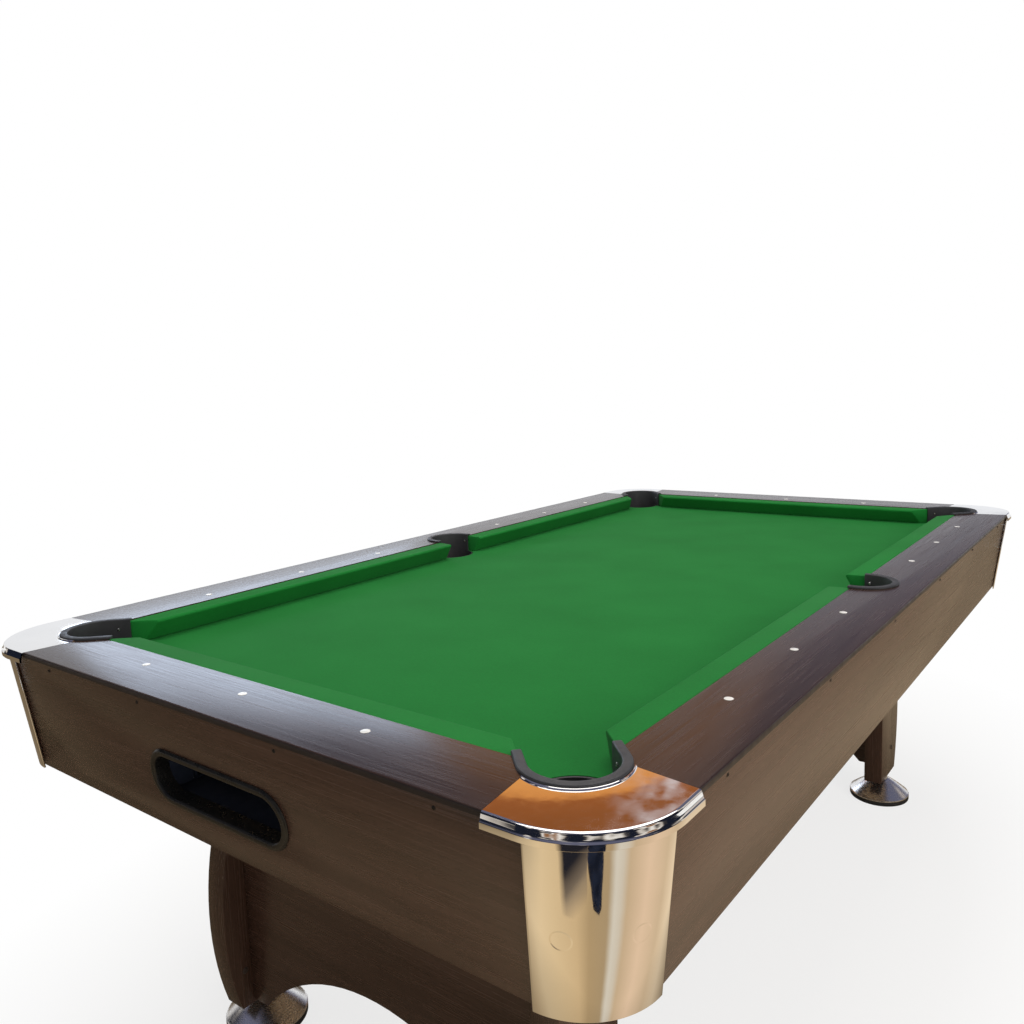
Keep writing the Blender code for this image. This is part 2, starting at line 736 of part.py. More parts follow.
gutter_low = gutter_floor(gutter_near) - GUTTER_BOARD
gutter_outer = inner_face(gutter_low) + GAP
gutter_corner = BLOCK_REACH + 2 * inner_face(gutter_low) + BLOCK_FIT
fence_near = spout_far - HALF_LENGTH
fence_top = BEAM_BOTTOM - GAP
fence_middle = GUTTER_INNER - FENCE_THICK / 2
gutter_half = [
    (GUTTER_INNER, GUTTER_END),
    (gutter_corner - GUTTER_END, GUTTER_END),
    (gutter_outer, gutter_corner - gutter_outer),
]
for sign, name in ((-1, "left"), (1, "right")):
    plan = [(sign * (HALF_WIDTH - a), b - HALF_LENGTH) for a, b in gutter_half]
    plan += [(sign * (HALF_WIDTH - a), HALF_LENGTH - b) for a, b in reversed(gutter_half)]
    gutter = solid("gutter_" + name, plan, GUTTER_BOARD, Matrix.Identity(4))
    for vertex in gutter.data.vertices:
        vertex.co.z += gutter_floor(vertex.co.y) - GUTTER_BOARD / 2
    finish(gutter, BOARD, TABLE)
    fence_side = [(fence_near, fence_top), (fence_near, gutter_floor(fence_near) + GAP)]
    fence_side += [(-gutter_near, gutter_floor(-gutter_near) + GAP), (-gutter_near, fence_top)]
    fence_frame = profile_frame(Matrix.Translation((sign * (HALF_WIDTH - fence_middle), 0, 0)))
    finish(solid("fence_" + name, fence_side, FENCE_THICK, fence_frame), BOARD, TABLE)

# Cross beams under the bed, thinner at the ends where balls roll beneath them
beam_places = (
    ("near", -BEAM_PLACE),
    ("mid_near", -BEAM_MIDDLE),
    ("mid_far", BEAM_MIDDLE),
    ("far", BEAM_PLACE),
)
shoulder = HALF_WIDTH - GUTTER_INNER + FENCE_THICK
for name, y in beam_places:
    beam_end = max(gutter_floor(y + BEAM_WIDTH / 2) + BALL_ROOM, BEAM_BOTTOM)
    right_half = [(HALF_WIDTH - inner_face(BEAM_TOP) - GAP, BEAM_TOP)]
    right_half += [(HALF_WIDTH - inner_face(beam_end) - GAP, beam_end)]
    right_half += [(shoulder, beam_end), (shoulder, BEAM_BOTTOM)]
    left_half = [(-x, z) for x, z in reversed(right_half)]
    beam = solid("beam_" + name, right_half + left_half, BEAM_WIDTH, upright_frame(y))
    finish(beam, BOARD, TABLE)


def leg_outer(height):
    """The leg board's bowed outer edge: an arc below, running on straight above."""
    rise = min(height, LEG_BOW_TOP) - LEG_BELLY_HEIGHT
    chord = math.sqrt(LEG_BOW ** 2 - rise ** 2)
    straight = max(height - LEG_BOW_TOP, 0)
    return HALF_LENGTH - LEG_BELLY_INSET - LEG_BOW + chord - straight * rise / chord


# Leg boards with a bowed outer edge, each bored from below for its foot screw
leg_top = BEAM_BOTTOM - GAP
leg_inner = HALF_LENGTH - LEG_BACK_INSET
foot_place = (leg_inner + leg_outer(LEG_FOOT)) / 2
stem_top = LEG_FOOT + STEM_LENGTH
leg_side = [(leg_inner, leg_top), (leg_inner, LEG_FOOT)]
for step in range(STEPS_CORNER + 1):
    height = LEG_FOOT + (LEG_BOW_TOP - LEG_FOOT) * step / STEPS_CORNER
    leg_side.append((leg_outer(height), height))
leg_side.append((leg_outer(leg_top), leg_top))
feet = []
for end, sign_y in (("near", -1), ("far", 1)):
    for name, sign_x in (("left", -1), ("right", 1)):
        label = end + "_" + name
        frame = profile_frame(Matrix.Translation((sign_x * LEG_PLACE, 0, 0)))
        leg = solid("leg_" + label, [(sign_y * y, z) for y, z in leg_side], LEG_THICK, frame)
        soften(leg, LEG_ROUND)
        axis = (sign_x * LEG_PLACE, sign_y * foot_place, 0)
        bore_outline = arc((0, 0), STEM_RADIUS + BORE_FIT, 0, 360, STEPS_ROUND)[:-1]
        bore_frame = level_frame(Matrix.Translation(axis), 0, stem_top + STEM_ROOM)
        bore = solid("cut_bore_" + label, bore_outline, stem_top + STEM_ROOM, bore_frame)
        combine(leg, tool(bore), "DIFFERENCE")
        finish(leg, LAMINATE, TABLE)
        feet.append((label, axis))

# Arched panels between the leg boards
arch_half = LEG_PLACE - LEG_THICK / 2 - GAP
arch_centre = ARCH_TOP - ARCH_RADIUS
arch_angle = math.degrees(math.asin((ARCH_FOOT - arch_centre) / ARCH_RADIUS))
arch_outline = [(-arch_half, leg_top), (-arch_half, ARCH_FOOT)]
arch_outline += arc((0, arch_centre), ARCH_RADIUS, 180 - arch_angle, arch_angle, STEPS_ARCH)
arch_outline += [(arch_half, ARCH_FOOT), (arch_half, leg_top)]
for end, sign_y in (("near", -1), ("far", 1)):
    frame = upright_frame(sign_y * (HALF_LENGTH - ARCH_INSET - ARCH_THICK / 2))
    finish(solid("arch_" + end, arch_outline, ARCH_THICK, frame), LAMINATE, TABLE)

# Screw feet: a chromed dome on a threaded stem that turns on a rubber glide
dome_bottom = GLIDE_THICK + GAP
dome_edge = dome_bottom + DOME_EDGE
hub_top = LEG_FOOT - GAP
dome_top = hub_top - DOME_SHOULDER
screw_profile = [(0, stem_top), (STEM_RADIUS - STEM_CHAMFER, stem_top)]
screw_profile += [(STEM_RADIUS, stem_top - STEM_CHAMFER), (STEM_RADIUS, hub_top)]
screw_profile += [(HUB_RADIUS - STEM_CHAMFER, hub_top), (HUB_RADIUS, hub_top - STEM_CHAMFER)]
for step in range(STEPS_DOME + 1):
    share = step / STEPS_DOME
    radius = HUB_RADIUS + (FOOT_RADIUS - HUB_RADIUS) * share
    screw_profile.append((radius, dome_top - (dome_top - dome_edge) * share ** DOME_CURVE))
screw_profile += [(FOOT_RADIUS, dome_bottom), (0, dome_bottom)]
glide_profile = [(0, GLIDE_THICK), (FOOT_RADIUS, GLIDE_THICK), (FOOT_RADIUS, GLIDE_ROUND)]
glide_profile += [(FOOT_RADIUS - GLIDE_ROUND, 0), (0, 0)]
for label, axis in feet:
    foot = empty("foot_axis_" + label, axis)
    finish(turned("screw_" + label, screw_profile, Matrix.Translation(axis)), CHROME, foot)
    finish(turned("glide_" + label, glide_profile, Matrix.Translation(axis)), RUBBER, foot)
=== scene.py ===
import json
import math

import bpy
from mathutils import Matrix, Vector

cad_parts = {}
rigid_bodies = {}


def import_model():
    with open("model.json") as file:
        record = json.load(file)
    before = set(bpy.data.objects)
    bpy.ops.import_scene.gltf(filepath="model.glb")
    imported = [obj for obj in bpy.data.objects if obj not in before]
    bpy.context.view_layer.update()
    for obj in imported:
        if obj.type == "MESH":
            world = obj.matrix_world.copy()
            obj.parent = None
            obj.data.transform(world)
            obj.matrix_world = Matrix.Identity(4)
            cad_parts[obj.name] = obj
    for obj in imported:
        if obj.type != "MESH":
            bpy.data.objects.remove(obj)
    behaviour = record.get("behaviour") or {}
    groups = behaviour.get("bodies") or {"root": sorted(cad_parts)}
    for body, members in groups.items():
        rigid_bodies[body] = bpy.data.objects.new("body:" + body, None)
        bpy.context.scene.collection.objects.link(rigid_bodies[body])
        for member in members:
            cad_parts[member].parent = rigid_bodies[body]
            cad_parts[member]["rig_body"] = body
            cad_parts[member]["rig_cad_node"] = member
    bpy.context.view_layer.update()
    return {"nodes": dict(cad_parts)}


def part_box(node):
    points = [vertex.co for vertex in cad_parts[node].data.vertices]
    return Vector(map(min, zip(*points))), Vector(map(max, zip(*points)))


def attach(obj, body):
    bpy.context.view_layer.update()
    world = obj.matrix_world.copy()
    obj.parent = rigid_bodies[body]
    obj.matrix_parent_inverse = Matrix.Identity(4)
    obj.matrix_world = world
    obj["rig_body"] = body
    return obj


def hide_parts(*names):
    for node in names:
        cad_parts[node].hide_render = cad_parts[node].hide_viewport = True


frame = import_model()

# Foot glides
# Each foot stands on a round glide moulded in black rubbery plastic. It has a rounded rim,
# a hollow underside and lies loose under the chromed dome, which turns on it.
FEET = ("near_left", "near_right", "far_left", "far_right")
DOT = 0.001
WELD = 0.00001
SOFT_ANGLE = math.radians(35)
GLIDE_STEPS = 72
GLIDE_HOLLOW = 0.0015
GLIDE_LAND = 0.016
GLIDE_EDGE = 0.0025
ROUND_SHARE = 0.30
GLIDE_COLOUR = (0.014, 0.014, 0.015)


def only(piece):
    """Makes a piece the one that the next operators act on."""
    bpy.ops.object.select_all(action="DESELECT")
    piece.select_set(True)
    bpy.context.view_layer.objects.active = piece


def settle(piece):
    """Puts the place, turn and scale of a piece into its mesh."""
    only(piece)
    bpy.ops.object.transform_apply(location=True, rotation=True, scale=True)


def plane(name, size, place, turn=(0, 0, 0)):
    """A square plane, the start of a piece."""
    bpy.ops.object.select_all(action="DESELECT")
    bpy.ops.mesh.primitive_plane_add(size=size, location=place, rotation=turn)
    piece = bpy.context.object
    piece.name = name
    piece.data.name = name
    return piece


def pull(way):
    """Extrudes what is selected and carries the new points along."""
    bpy.ops.mesh.extrude_region_move(TRANSFORM_OT_translate={"value": way})


def draw_line(name, points):
    """Starts a piece as a chain of edges, drawn from point to point out of a single dot."""
    piece = plane(name, DOT, points[0])
    settle(piece)
    bpy.ops.object.mode_set(mode="EDIT")
    bpy.ops.mesh.merge(type="CENTER")
    for here, there in zip(points, points[1:]):
        pull(Vector(there) - Vector(here))
    return piece


def close_up():
    """Welds the piece in edit mode, turns its faces outwards and leaves edit mode."""
    bpy.ops.mesh.select_all(action="SELECT")
    bpy.ops.mesh.remove_doubles(threshold=WELD)
    bpy.ops.mesh.normals_make_consistent(inside=False)
    bpy.ops.object.mode_set(mode="OBJECT")


def smooth(piece, angle=SOFT_ANGLE):
    """Shades a piece smooth, keeping its real corners."""
    only(piece)
    bpy.ops.object.shade_smooth_by_angle(angle=angle)


def twin(piece, name):
    """A copy of a piece with its own mesh."""
    only(piece)
    bpy.ops.object.duplicate()
    copy = bpy.context.object
    copy.name = name
    copy.data.name = name
    return copy


def moved_copy(piece, name, shift):
    """A copy of a piece, set down further along."""
    copy = twin(piece, name)
    copy.location = shift
    settle(copy)
    return copy


def turned(name, profile, axis, steps):
    """A closed round piece: radius and height pairs turned about an upright axis."""
    points = [(axis[0] + radius, axis[1], height) for radius, height in profile]
    piece = draw_line(name, points)
    bpy.ops.mesh.select_all(action="SELECT")
    bpy.ops.mesh.spin(steps=steps, angle=2 * math.pi, center=axis, axis=(0, 0, 1))
    close_up()
    smooth(piece)
    return piece


def fill(tree, node, sockets):
    """Sets the sockets of a node, and links those whose value comes from another node."""
    for socket, value in sockets.items():
        if isinstance(value, bpy.types.NodeSocket):
            tree.links.new(value, node.inputs[socket])
        else:
            node.inputs[socket].default_value = value


def add(tree, kind, sockets=None, **settings):
    """One shader node, with its settings made and its sockets filled."""
    node = tree.nodes.new(kind)
    for key, value in settings.items():
        setattr(node, key, value)
    fill(tree, node, sockets or {})
    return node


def finish_of(name, colour, roughness, **fixed):
    """A material with one shader. What is the same all over is set on the shader's own sockets."""
    material = bpy.data.materials.new(name)
    material.use_nodes = True
    tree = material.node_tree
    shader = tree.nodes["Principled BSDF"]
    fill(tree, shader, {"Base Color": (*colour, 1), "Roughness": roughness})
    fill(tree, shader, {socket.replace("_", " "): value for socket, value in fixed.items()})
    return material, tree, shader


def own_place(tree):
    """Where each point of a piece lies, in the table's own metres."""
    return add(tree, "ShaderNodeTexCoord").outputs["Object"]


def cloud(tree, size, stretch=(1, 1, 1), detail=2.0, shift=(0, 0, 0)):
    """Soft noise in the table's own metres, with features about as big as size."""
    mapping = add(tree, "ShaderNodeMapping", {
        "Vector": own_place(tree), "Scale": stretch, "Location": shift})
    noise = add(tree, "ShaderNodeTexNoise", {
        "Vector": mapping.outputs["Vector"], "Scale": 1 / size, "Detail": detail})
    return noise.outputs[0]


def spread(tree, value, low, high, start=0.3, end=0.7):
    """Stretches a soft pattern to run between two numbers."""
    sockets = {"Value": value, "From Min": start, "From Max": end, "To Min": low, "To Max": high}
    return add(tree, "ShaderNodeMapRange", sockets).outputs["Result"]


def shades(tree, value, stops):
    """A colour picked from a row of shades by a pattern."""
    ramp = add(tree, "ShaderNodeValToRGB", {"Fac": value})
    points = ramp.color_ramp.elements
    while len(points) < len(stops):
        points.new(0.5)
    for point, (place, colour) in zip(points, stops):
        point.position = place
        point.color = (*colour, 1)
    return ramp.outputs["Color"]


def relief(tree, shader, height, depth, strength=1.0):
    """Fine surface relief of a given depth in metres."""
    sockets = {"Height": height, "Distance": depth, "Strength": strength}
    fill(tree, shader, {"Normal": add(tree, "ShaderNodeBump", sockets).outputs["Normal"]})


def dimmed(colour, share):
    """The same colour at another depth."""
    return tuple(channel * share for channel in colour)


def mottled(tree, colour, size, detail, depths, edges=(0.3, 0.7)):
    """A colour that drifts in soft clouds between some depths of itself."""
    stops = [(edge, dimmed(colour, depth)) for edge, depth in zip(edges, depths)]
    return shades(tree, cloud(tree, size, detail=detail), stops)


def moulded(name, colour, roughness, grain, depth, **fixed):
    """A moulded plastic or rubber: fine spark grain, a cloudy gloss and a breath of dust."""
    material, tree, shader = finish_of(name, colour, roughness, **fixed)
    gloss = cloud(tree, size=0.012, detail=3.0)
    fill(tree, shader, {
        "Base Color": mottled(tree, colour, size=0.035, detail=4.0, depths=(0.90, 1.25),
                              edges=(0.35, 0.75)),
        "Roughness": spread(tree, gloss, low=roughness - 0.06, high=roughness + 0.10),
    })
    relief(tree, shader, cloud(tree, grain, detail=1.0), depth)
    return material


glide_finish = moulded("glide_rubber", GLIDE_COLOUR, roughness=0.55, grain=0.0012, depth=0.00015)
glide_low, glide_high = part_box("glide_near_left")
foot_axis = (glide_low + glide_high) / 2
foot_radius = (glide_high.x - glide_low.x) / 2
glide_top = glide_high.z
glide_round = ROUND_SHARE * GLIDE_EDGE
glide_profile = [
    (0, GLIDE_HOLLOW),
    (foot_radius - GLIDE_LAND - GLIDE_HOLLOW, GLIDE_HOLLOW),
    (foot_radius - GLIDE_LAND, 0),
    (foot_radius - GLIDE_EDGE, 0),
    (foot_radius - glide_round, glide_round),
    (foot_radius, GLIDE_EDGE),
    (foot_radius, glide_top - GLIDE_EDGE),
    (foot_radius - glide_round, glide_top - glide_round),
    (foot_radius - GLIDE_EDGE, glide_top),
    (0, glide_top),
]
screw_axis = (foot_axis.x, foot_axis.y, 0)
first_glide = turned("foot_glide_near_left", glide_profile, screw_axis, GLIDE_STEPS)
first_glide.data.materials.append(glide_finish)
foot_shift = {}
for foot in FEET:
    low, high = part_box("glide_" + foot)
    foot_shift[foot] = (low + high) / 2 - foot_axis
    glide = first_glide
    if foot != FEET[0]:
        glide = moved_copy(first_glide, "foot_glide_" + foot, foot_shift[foot])
    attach(glide, "foot_pad_" + foot)
    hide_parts("glide_" + foot)

# Screw feet
# Each foot is a spun steel dome, plated satin, with a rolled rim and a short hub. A plated
# screw with a two millimetre thread is fixed in the hub and runs up into the leg board.
DOME_STEPS = 96
DOME_CURVE = 1.25
DOME_RINGS = 24
DOME_EDGE = 0.004
DOME_SHOULDER = 0.010
DOME_BEAD = 0.0012
BEAD_IN = 0.00042
BEAD_DOWN = 0.0003
HUB_RADIUS = 0.021
HUB_EDGE = 0.0015
THREAD_PITCH = 0.002
THREAD_OUTER = 0.0080
THREAD_ROOT = 0.0071
THREAD_STEPS = 24
THREAD_SUNK = 0.001
THREAD_TOOTH = (
    (THREAD_ROOT, 0.0),
    (THREAD_OUTER, 0.35),
    (THREAD_OUTER, 0.50),
    (THREAD_ROOT, 0.85),
    (THREAD_ROOT, 1.0),
)
CHROME_COLOUR = (0.90, 0.88, 0.85)
CHROME_GLOSS = (0.025, 0.09)
SPUN_GLOSS = (0.17, 0.32)
ZINC_COLOUR = (0.58, 0.57, 0.54)


def work(piece, kind, **settings):
    """Adds one modifier to a piece and applies it."""
    only(piece)
    modifier = piece.modifiers.new(kind.lower(), kind)
    for key, value in settings.items():
        setattr(modifier, key, value)
    bpy.ops.object.modifier_apply(modifier=modifier.name)


def reckon(tree, operation, *values):
    """A number worked out from others in a material."""
    return add(tree, "ShaderNodeMath", dict(enumerate(values)), operation=operation).outputs[0]


def chromed(name, gloss=CHROME_GLOSS, marks=None):
    """Bright, slightly wavy plating, with hairline wipes in the gloss and any marks in relief."""
    material, tree, shader = finish_of(name, CHROME_COLOUR, gloss[0], Metallic=1.0)
    wipes = cloud(tree, size=0.010, stretch=(1, 1, 14), detail=5.0)
    fill(tree, shader, {
        "Base Color": mottled(tree, CHROME_COLOUR, size=0.08, detail=3.0, depths=(0.95, 1.0)),
        "Roughness": spread(tree, wipes, *gloss),
    })
    wave = cloud(tree, size=0.030, detail=1.0)
    if marks:
        wave = reckon(tree, "ADD", wave, marks(tree))
    relief(tree, shader, wave, depth=0.00012)
    return material


spun_finish = chromed("spun_chrome", SPUN_GLOSS)
zinc_finish, zinc_tree, zinc_shader = finish_of(
    "zinc_plate", ZINC_COLOUR, roughness=0.35, Metallic=1.0)
fill(zinc_tree, zinc_shader, {
    "Base Color": mottled(zinc_tree, ZINC_COLOUR, size=0.006, detail=4.0, depths=(0.75, 1.1)),
    "Roughness": spread(zinc_tree, cloud(zinc_tree, size=0.003), low=0.25, high=0.45),
})

screw_low, screw_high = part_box("screw_near_left")
leg_low, leg_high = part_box("leg_near_left")
dome_bottom = screw_low.z
dome_edge = dome_bottom + DOME_EDGE
hub_top = leg_low.z - (dome_bottom - glide_top)
dome_top = hub_top - DOME_SHOULDER
hub_round = ROUND_SHARE * HUB_EDGE
dome_profile = [
    (0, hub_top),
    (HUB_RADIUS - HUB_EDGE, hub_top),
    (HUB_RADIUS - hub_round, hub_top - hub_round),
    (HUB_RADIUS, hub_top - HUB_EDGE),
]
for ring in range(DOME_RINGS + 1):
    share = ring / DOME_RINGS
    radius = HUB_RADIUS + (foot_radius - DOME_BEAD - HUB_RADIUS) * share
    dome_profile.append((radius, dome_top - (dome_top - dome_edge) * share ** DOME_CURVE))
dome_profile += [
    (foot_radius - BEAD_IN, dome_edge - BEAD_DOWN),
    (foot_radius, dome_edge - DOME_BEAD),
    (foot_radius, dome_bottom + DOME_BEAD),
    (foot_radius - BEAD_IN, dome_bottom + BEAD_DOWN),
    (foot_radius - DOME_BEAD, dome_bottom),
    (0, dome_bottom),
]
first_dome = turned("foot_dome_near_left", dome_profile, screw_axis, DOME_STEPS)
first_dome.data.materials.append(spun_finish)

thread_start = hub_top - THREAD_SUNK
thread_turns = int((screw_high.z - thread_start) / THREAD_PITCH) - 1
thread_middle = thread_turns * THREAD_PITCH / 2
tooth = [(radius, 0, share * THREAD_PITCH) for radius, share in THREAD_TOOTH]
first_thread = draw_line("foot_thread_near_left", tooth)
bpy.ops.object.mode_set(mode="OBJECT")
work(first_thread, "SCREW", angle=2 * math.pi, screw_offset=THREAD_PITCH, iterations=thread_turns,
     steps=THREAD_STEPS, render_steps=THREAD_STEPS, use_merge_vertices=True, merge_threshold=WELD)
bpy.ops.object.mode_set(mode="EDIT")
bpy.ops.mesh.select_all(action="SELECT")
bpy.ops.mesh.remove_doubles(threshold=WELD)
for top in (False, True):
    bpy.ops.mesh.select_all(action="DESELECT")
    bpy.ops.mesh.select_non_manifold(extend=False, use_wire=False, use_multi_face=False,
                                     use_non_contiguous=False, use_verts=False)
    bpy.ops.object.mode_set(mode="OBJECT")
    for vertex in first_thread.data.vertices:
        vertex.select = vertex.select and (vertex.co.z > thread_middle) == top
    for edge in first_thread.data.edges:
        ends = [first_thread.data.vertices[index].select for index in edge.vertices]
        edge.select = edge.select and all(ends)
    for face in first_thread.data.polygons:
        face.select = False
    bpy.ops.object.mode_set(mode="EDIT")
    pull((0, 0, 0))
    bpy.ops.mesh.merge(type="CENTER")
close_up()
first_thread.location = (foot_axis.x, foot_axis.y, thread_start)
settle(first_thread)
smooth(first_thread)
first_thread.data.materials.append(zinc_finish)
for foot in FEET:
    dome, thread = first_dome, first_thread
    if foot != FEET[0]:
        dome = moved_copy(first_dome, "foot_dome_" + foot, foot_shift[foot])
        thread = moved_copy(first_thread, "foot_thread_" + foot, foot_shift[foot])
    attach(dome, "foot_screw_" + foot)
    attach(thread, "foot_screw_" + foot)
    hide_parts("screw_" + foot)

# Leg boards
# Thick particle board, sawn with a bowed outer edge and wrapped in dark wood-grain foil.
# The grain stands upright. Each is bored from below for its screw foot.
GRAIN_DARK = (0.036, 0.0175, 0.0112)
GRAIN_MIDDLE = (0.050, 0.0248, 0.0162)
GRAIN_LIGHT = (0.066, 0.0338, 0.0225)
GRAIN_SHADES = ((0.34, GRAIN_DARK), (0.50, GRAIN_MIDDLE), (0.66, GRAIN_LIGHT))
GRAIN_FIGURE = (0.60, 0.030, 3.0)
GRAIN_LINES = (0.16, 0.0030, 3.0)
GRAIN_PORES = (0.022, 0.0009, 1.0)
FIGURE_SHARE = 0.55
LINE_SHARE = 0.45
PORE_TONE = 0.70
PORE_EDGE = (0.30, 0.40)
FOIL_GLOSS = (0.18, 0.30)
FOIL_RELIEF = (0.00006, 0.22)
LEG_TONE = 0.85
BOARD_EASE = 0.0012
FLAT_ANGLE = math.radians(1)
BEND_ANGLE = math.radians(40)


def wood_foil(name, along, shift, tone=1.0):
    """Dark wood-grain foil: broad figure, fine streaks and short pores, all running one way."""
    material, tree, shader = finish_of(
        name, GRAIN_MIDDLE, roughness=0.28, Specular_IOR_Level=0.45)

    def streaks(length, width, detail):
        stretch = [1 / width] * 3
        stretch[along] = 1 / length
        return cloud(tree, size=1.0, stretch=stretch, detail=detail, shift=shift)

    lines = streaks(*GRAIN_LINES)
    soft = reckon(tree, "MULTIPLY", streaks(*GRAIN_FIGURE), FIGURE_SHARE)
    fine = reckon(tree, "MULTIPLY_ADD", lines, LINE_SHARE, soft)
    colour = shades(tree, fine, [(place, dimmed(shade, tone)) for place, shade in GRAIN_SHADES])
    open_pore = spread(tree, streaks(*GRAIN_PORES), PORE_TONE, 1.0, *PORE_EDGE)
    dark = add(tree, "ShaderNodeVectorMath", {0: colour, "Scale": open_pore}, operation="SCALE")
    fill(tree, shader, {
        "Base Color": dark.outputs["Vector"],
        "Roughness": spread(tree, lines, *FOIL_GLOSS),
    })
    relief(tree, shader, open_pore, *FOIL_RELIEF)
    return material


def ease_edges(piece, width, segments=3):
    """Rounds over the sharp edges of a piece."""
    work(piece, "BEVEL", width=width, segments=segments, limit_method="ANGLE",
         angle_limit=BEND_ANGLE)


def board_over(node, name, finish, ease=BOARD_EASE):
    """The board of a hidden node with its edges eased and its curves smooth, foil on all faces."""
    board = twin(frame["nodes"][node], name)
    bpy.ops.object.parent_clear(type="CLEAR_KEEP_TRANSFORM")
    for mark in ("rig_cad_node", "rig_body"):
        del board[mark]
    bpy.ops.object.mode_set(mode="EDIT")
    bpy.ops.mesh.customdata_custom_splitnormals_clear()
    bpy.ops.mesh.select_all(action="SELECT")
    bpy.ops.mesh.remove_doubles(threshold=WELD)
    bpy.ops.mesh.dissolve_limited(angle_limit=FLAT_ANGLE)
    close_up()
    if ease:
        ease_edges(board, ease)
    smooth(board)
    board.data.materials.clear()
    board.data.materials.append(finish)
    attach(board, "table")
    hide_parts(node)
    return board


for count, foot in enumerate(FEET):
    leg_shift = (0.7 * count, 1.3 * count, 0.4)
    leg_finish = wood_foil("leg_foil_" + foot, along=2, shift=leg_shift, tone=LEG_TONE)
    board_over("leg_" + foot, "leg_board_" + foot, leg_finish, ease=0)

# Arched panels
# A twenty millimetre board across each pair of legs, sawn to a wide arch below and covered
# in the same foil with its grain lying crosswise. It is screwed between the leg boards.
for count, end in enumerate(("near", "far")):
    arch_shift = (3.1, 0.9 * count, 2.2)
    arch_finish = wood_foil("arch_foil_" + end, along=0, shift=arch_shift, tone=LEG_TONE)
    board_over("arch_" + end, "arch_panel_" + end, arch_finish)

# Bolt caps
# Press-in caps of dark plastic cover the connecting bolts on the outer face of each leg
# board, in line with the arched panel. One more covers a screw on its inner face.
BUTTON_RADIUS = 0.0065
BUTTON_CROWN = 0.0016
BUTTON_SUNK = 0.00096
BUTTON_CURVE = ((0.35, 0.97), (0.65, 0.84), (0.88, 0.58), (1, 0.15))
BUTTON_STEPS = 28
BUTTON_PLACES = ((0.852, 0.138), (0.852, 0.360), (0.852, 0.560))
INNER_BUTTON = (0.8753, 0.141)
BUTTON_COLOUR = (0.030, 0.020, 0.015)
QUARTER_TURN = math.pi / 2


def crowned(name, radius, crown, sunk, curve, steps):
    """A round head on the origin, its crown drawn in shares of its radius and its height."""
    profile = [(0, crown)] + [(out * radius, up * crown) for out, up in curve]
    return turned(name, profile + [(radius, -sunk), (0, -sunk)], (0, 0, 0), steps)


def set_facing(piece, name, place, turn):
    """A copy of a piece turned to face a way and set at its place."""
    copy = twin(piece, name)
    copy.rotation_euler = turn
    copy.location = place
    settle(copy)
    return copy


first_cap = crowned("bolt_cap", BUTTON_RADIUS, BUTTON_CROWN, BUTTON_SUNK, BUTTON_CURVE,
                    BUTTON_STEPS)
first_cap.data.materials.append(moulded("bolt_cap_plastic", BUTTON_COLOUR, roughness=0.42,
                                        grain=0.0010, depth=0.00008))
for foot in FEET:
    sign_x = -1 if foot.endswith("left") else 1
    sign_y = -1 if foot.startswith("near") else 1
    places = [(sign_x * -leg_low.x, sign_y * y, z, sign_x) for y, z in BUTTON_PLACES]
    places.append((sign_x * -leg_high.x, sign_y * INNER_BUTTON[0], INNER_BUTTON[1], -sign_x))
    for count, (x, y, z, way) in enumerate(places):
        label = "bolt_cap_" + foot + "_" + str(count)
        button = set_facing(first_cap, label, (x, y, z), (0, way * QUARTER_TURN, 0))
        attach(button, "table")
bpy.data.objects.remove(first_cap)

# Bed panel, beams, blocks, gutters and fences
# The unseen frame is bare fibreboard: a thick bed panel on four cross beams, corner blocks
# that tie the aprons together, and sloping gutter boards with fences under the pockets.
BOARD_COLOUR = (0.36, 0.25, 0.155)
BARE = ["bed_panel"]
BARE += ["beam_" + end for end in ("near", "mid_near", "mid_far", "far")]
BARE += ["block_" + corner for corner in ("near_left", "near_right", "far_right", "far_left")]
BARE += [kind + side for kind in ("gutter_", "fence_") for side in ("left", "right")]
bare_finish, bare_tree, bare_shader = finish_of(
    "bare_fibreboard", BOARD_COLOUR, roughness=0.85)
fill(bare_tree, bare_shader, {
    "Base Color": mottled(bare_tree, BOARD_COLOUR, size=0.0035, detail=6.0,
                          depths=(0.62, 1.0, 1.25), edges=(0.30, 0.52, 0.72)),
    "Roughness": spread(bare_tree, cloud(bare_tree, size=0.05), low=0.75, high=0.95),
})
relief(bare_tree, bare_shader, cloud(bare_tree, size=0.0015, detail=4.0), depth=0.0002)
for name in BARE:
    frame["nodes"][name].data.materials[0] = bare_finish

# Tray and spouts
# Thin black plastic mouldings inside the near end. The spouts lead from the gutters across
# the end and down into the tray, which lies behind the oval opening.
TRAY_COLOUR = (0.026, 0.032, 0.050)
tray_finish = moulded("tray_plastic", TRAY_COLOUR, roughness=0.65, grain=0.0014, depth=0.00004,
                      Specular_IOR_Level=0.04)
for name in ("ball_tray", "spout_left", "spout_right"):
    frame["nodes"][name].data.materials[0] = tray_finish

# Aprons
# Four leaning boards make the cabinet, foil covered with the grain lying along them.
# Their top edges go under the rails, and dark screws hold them to the inner frame.
GRAIN_WAY = {"near": 0, "right": 1, "far": 0, "left": 1}
for count, (side, along) in enumerate(GRAIN_WAY.items()):
    apron_shift = (1.7 * count, 2.9 * count, 0.55 * count)
    apron_finish = wood_foil("apron_foil_" + side, along, apron_shift)
    board_over("apron_" + side, "apron_board_" + side, apron_finish)

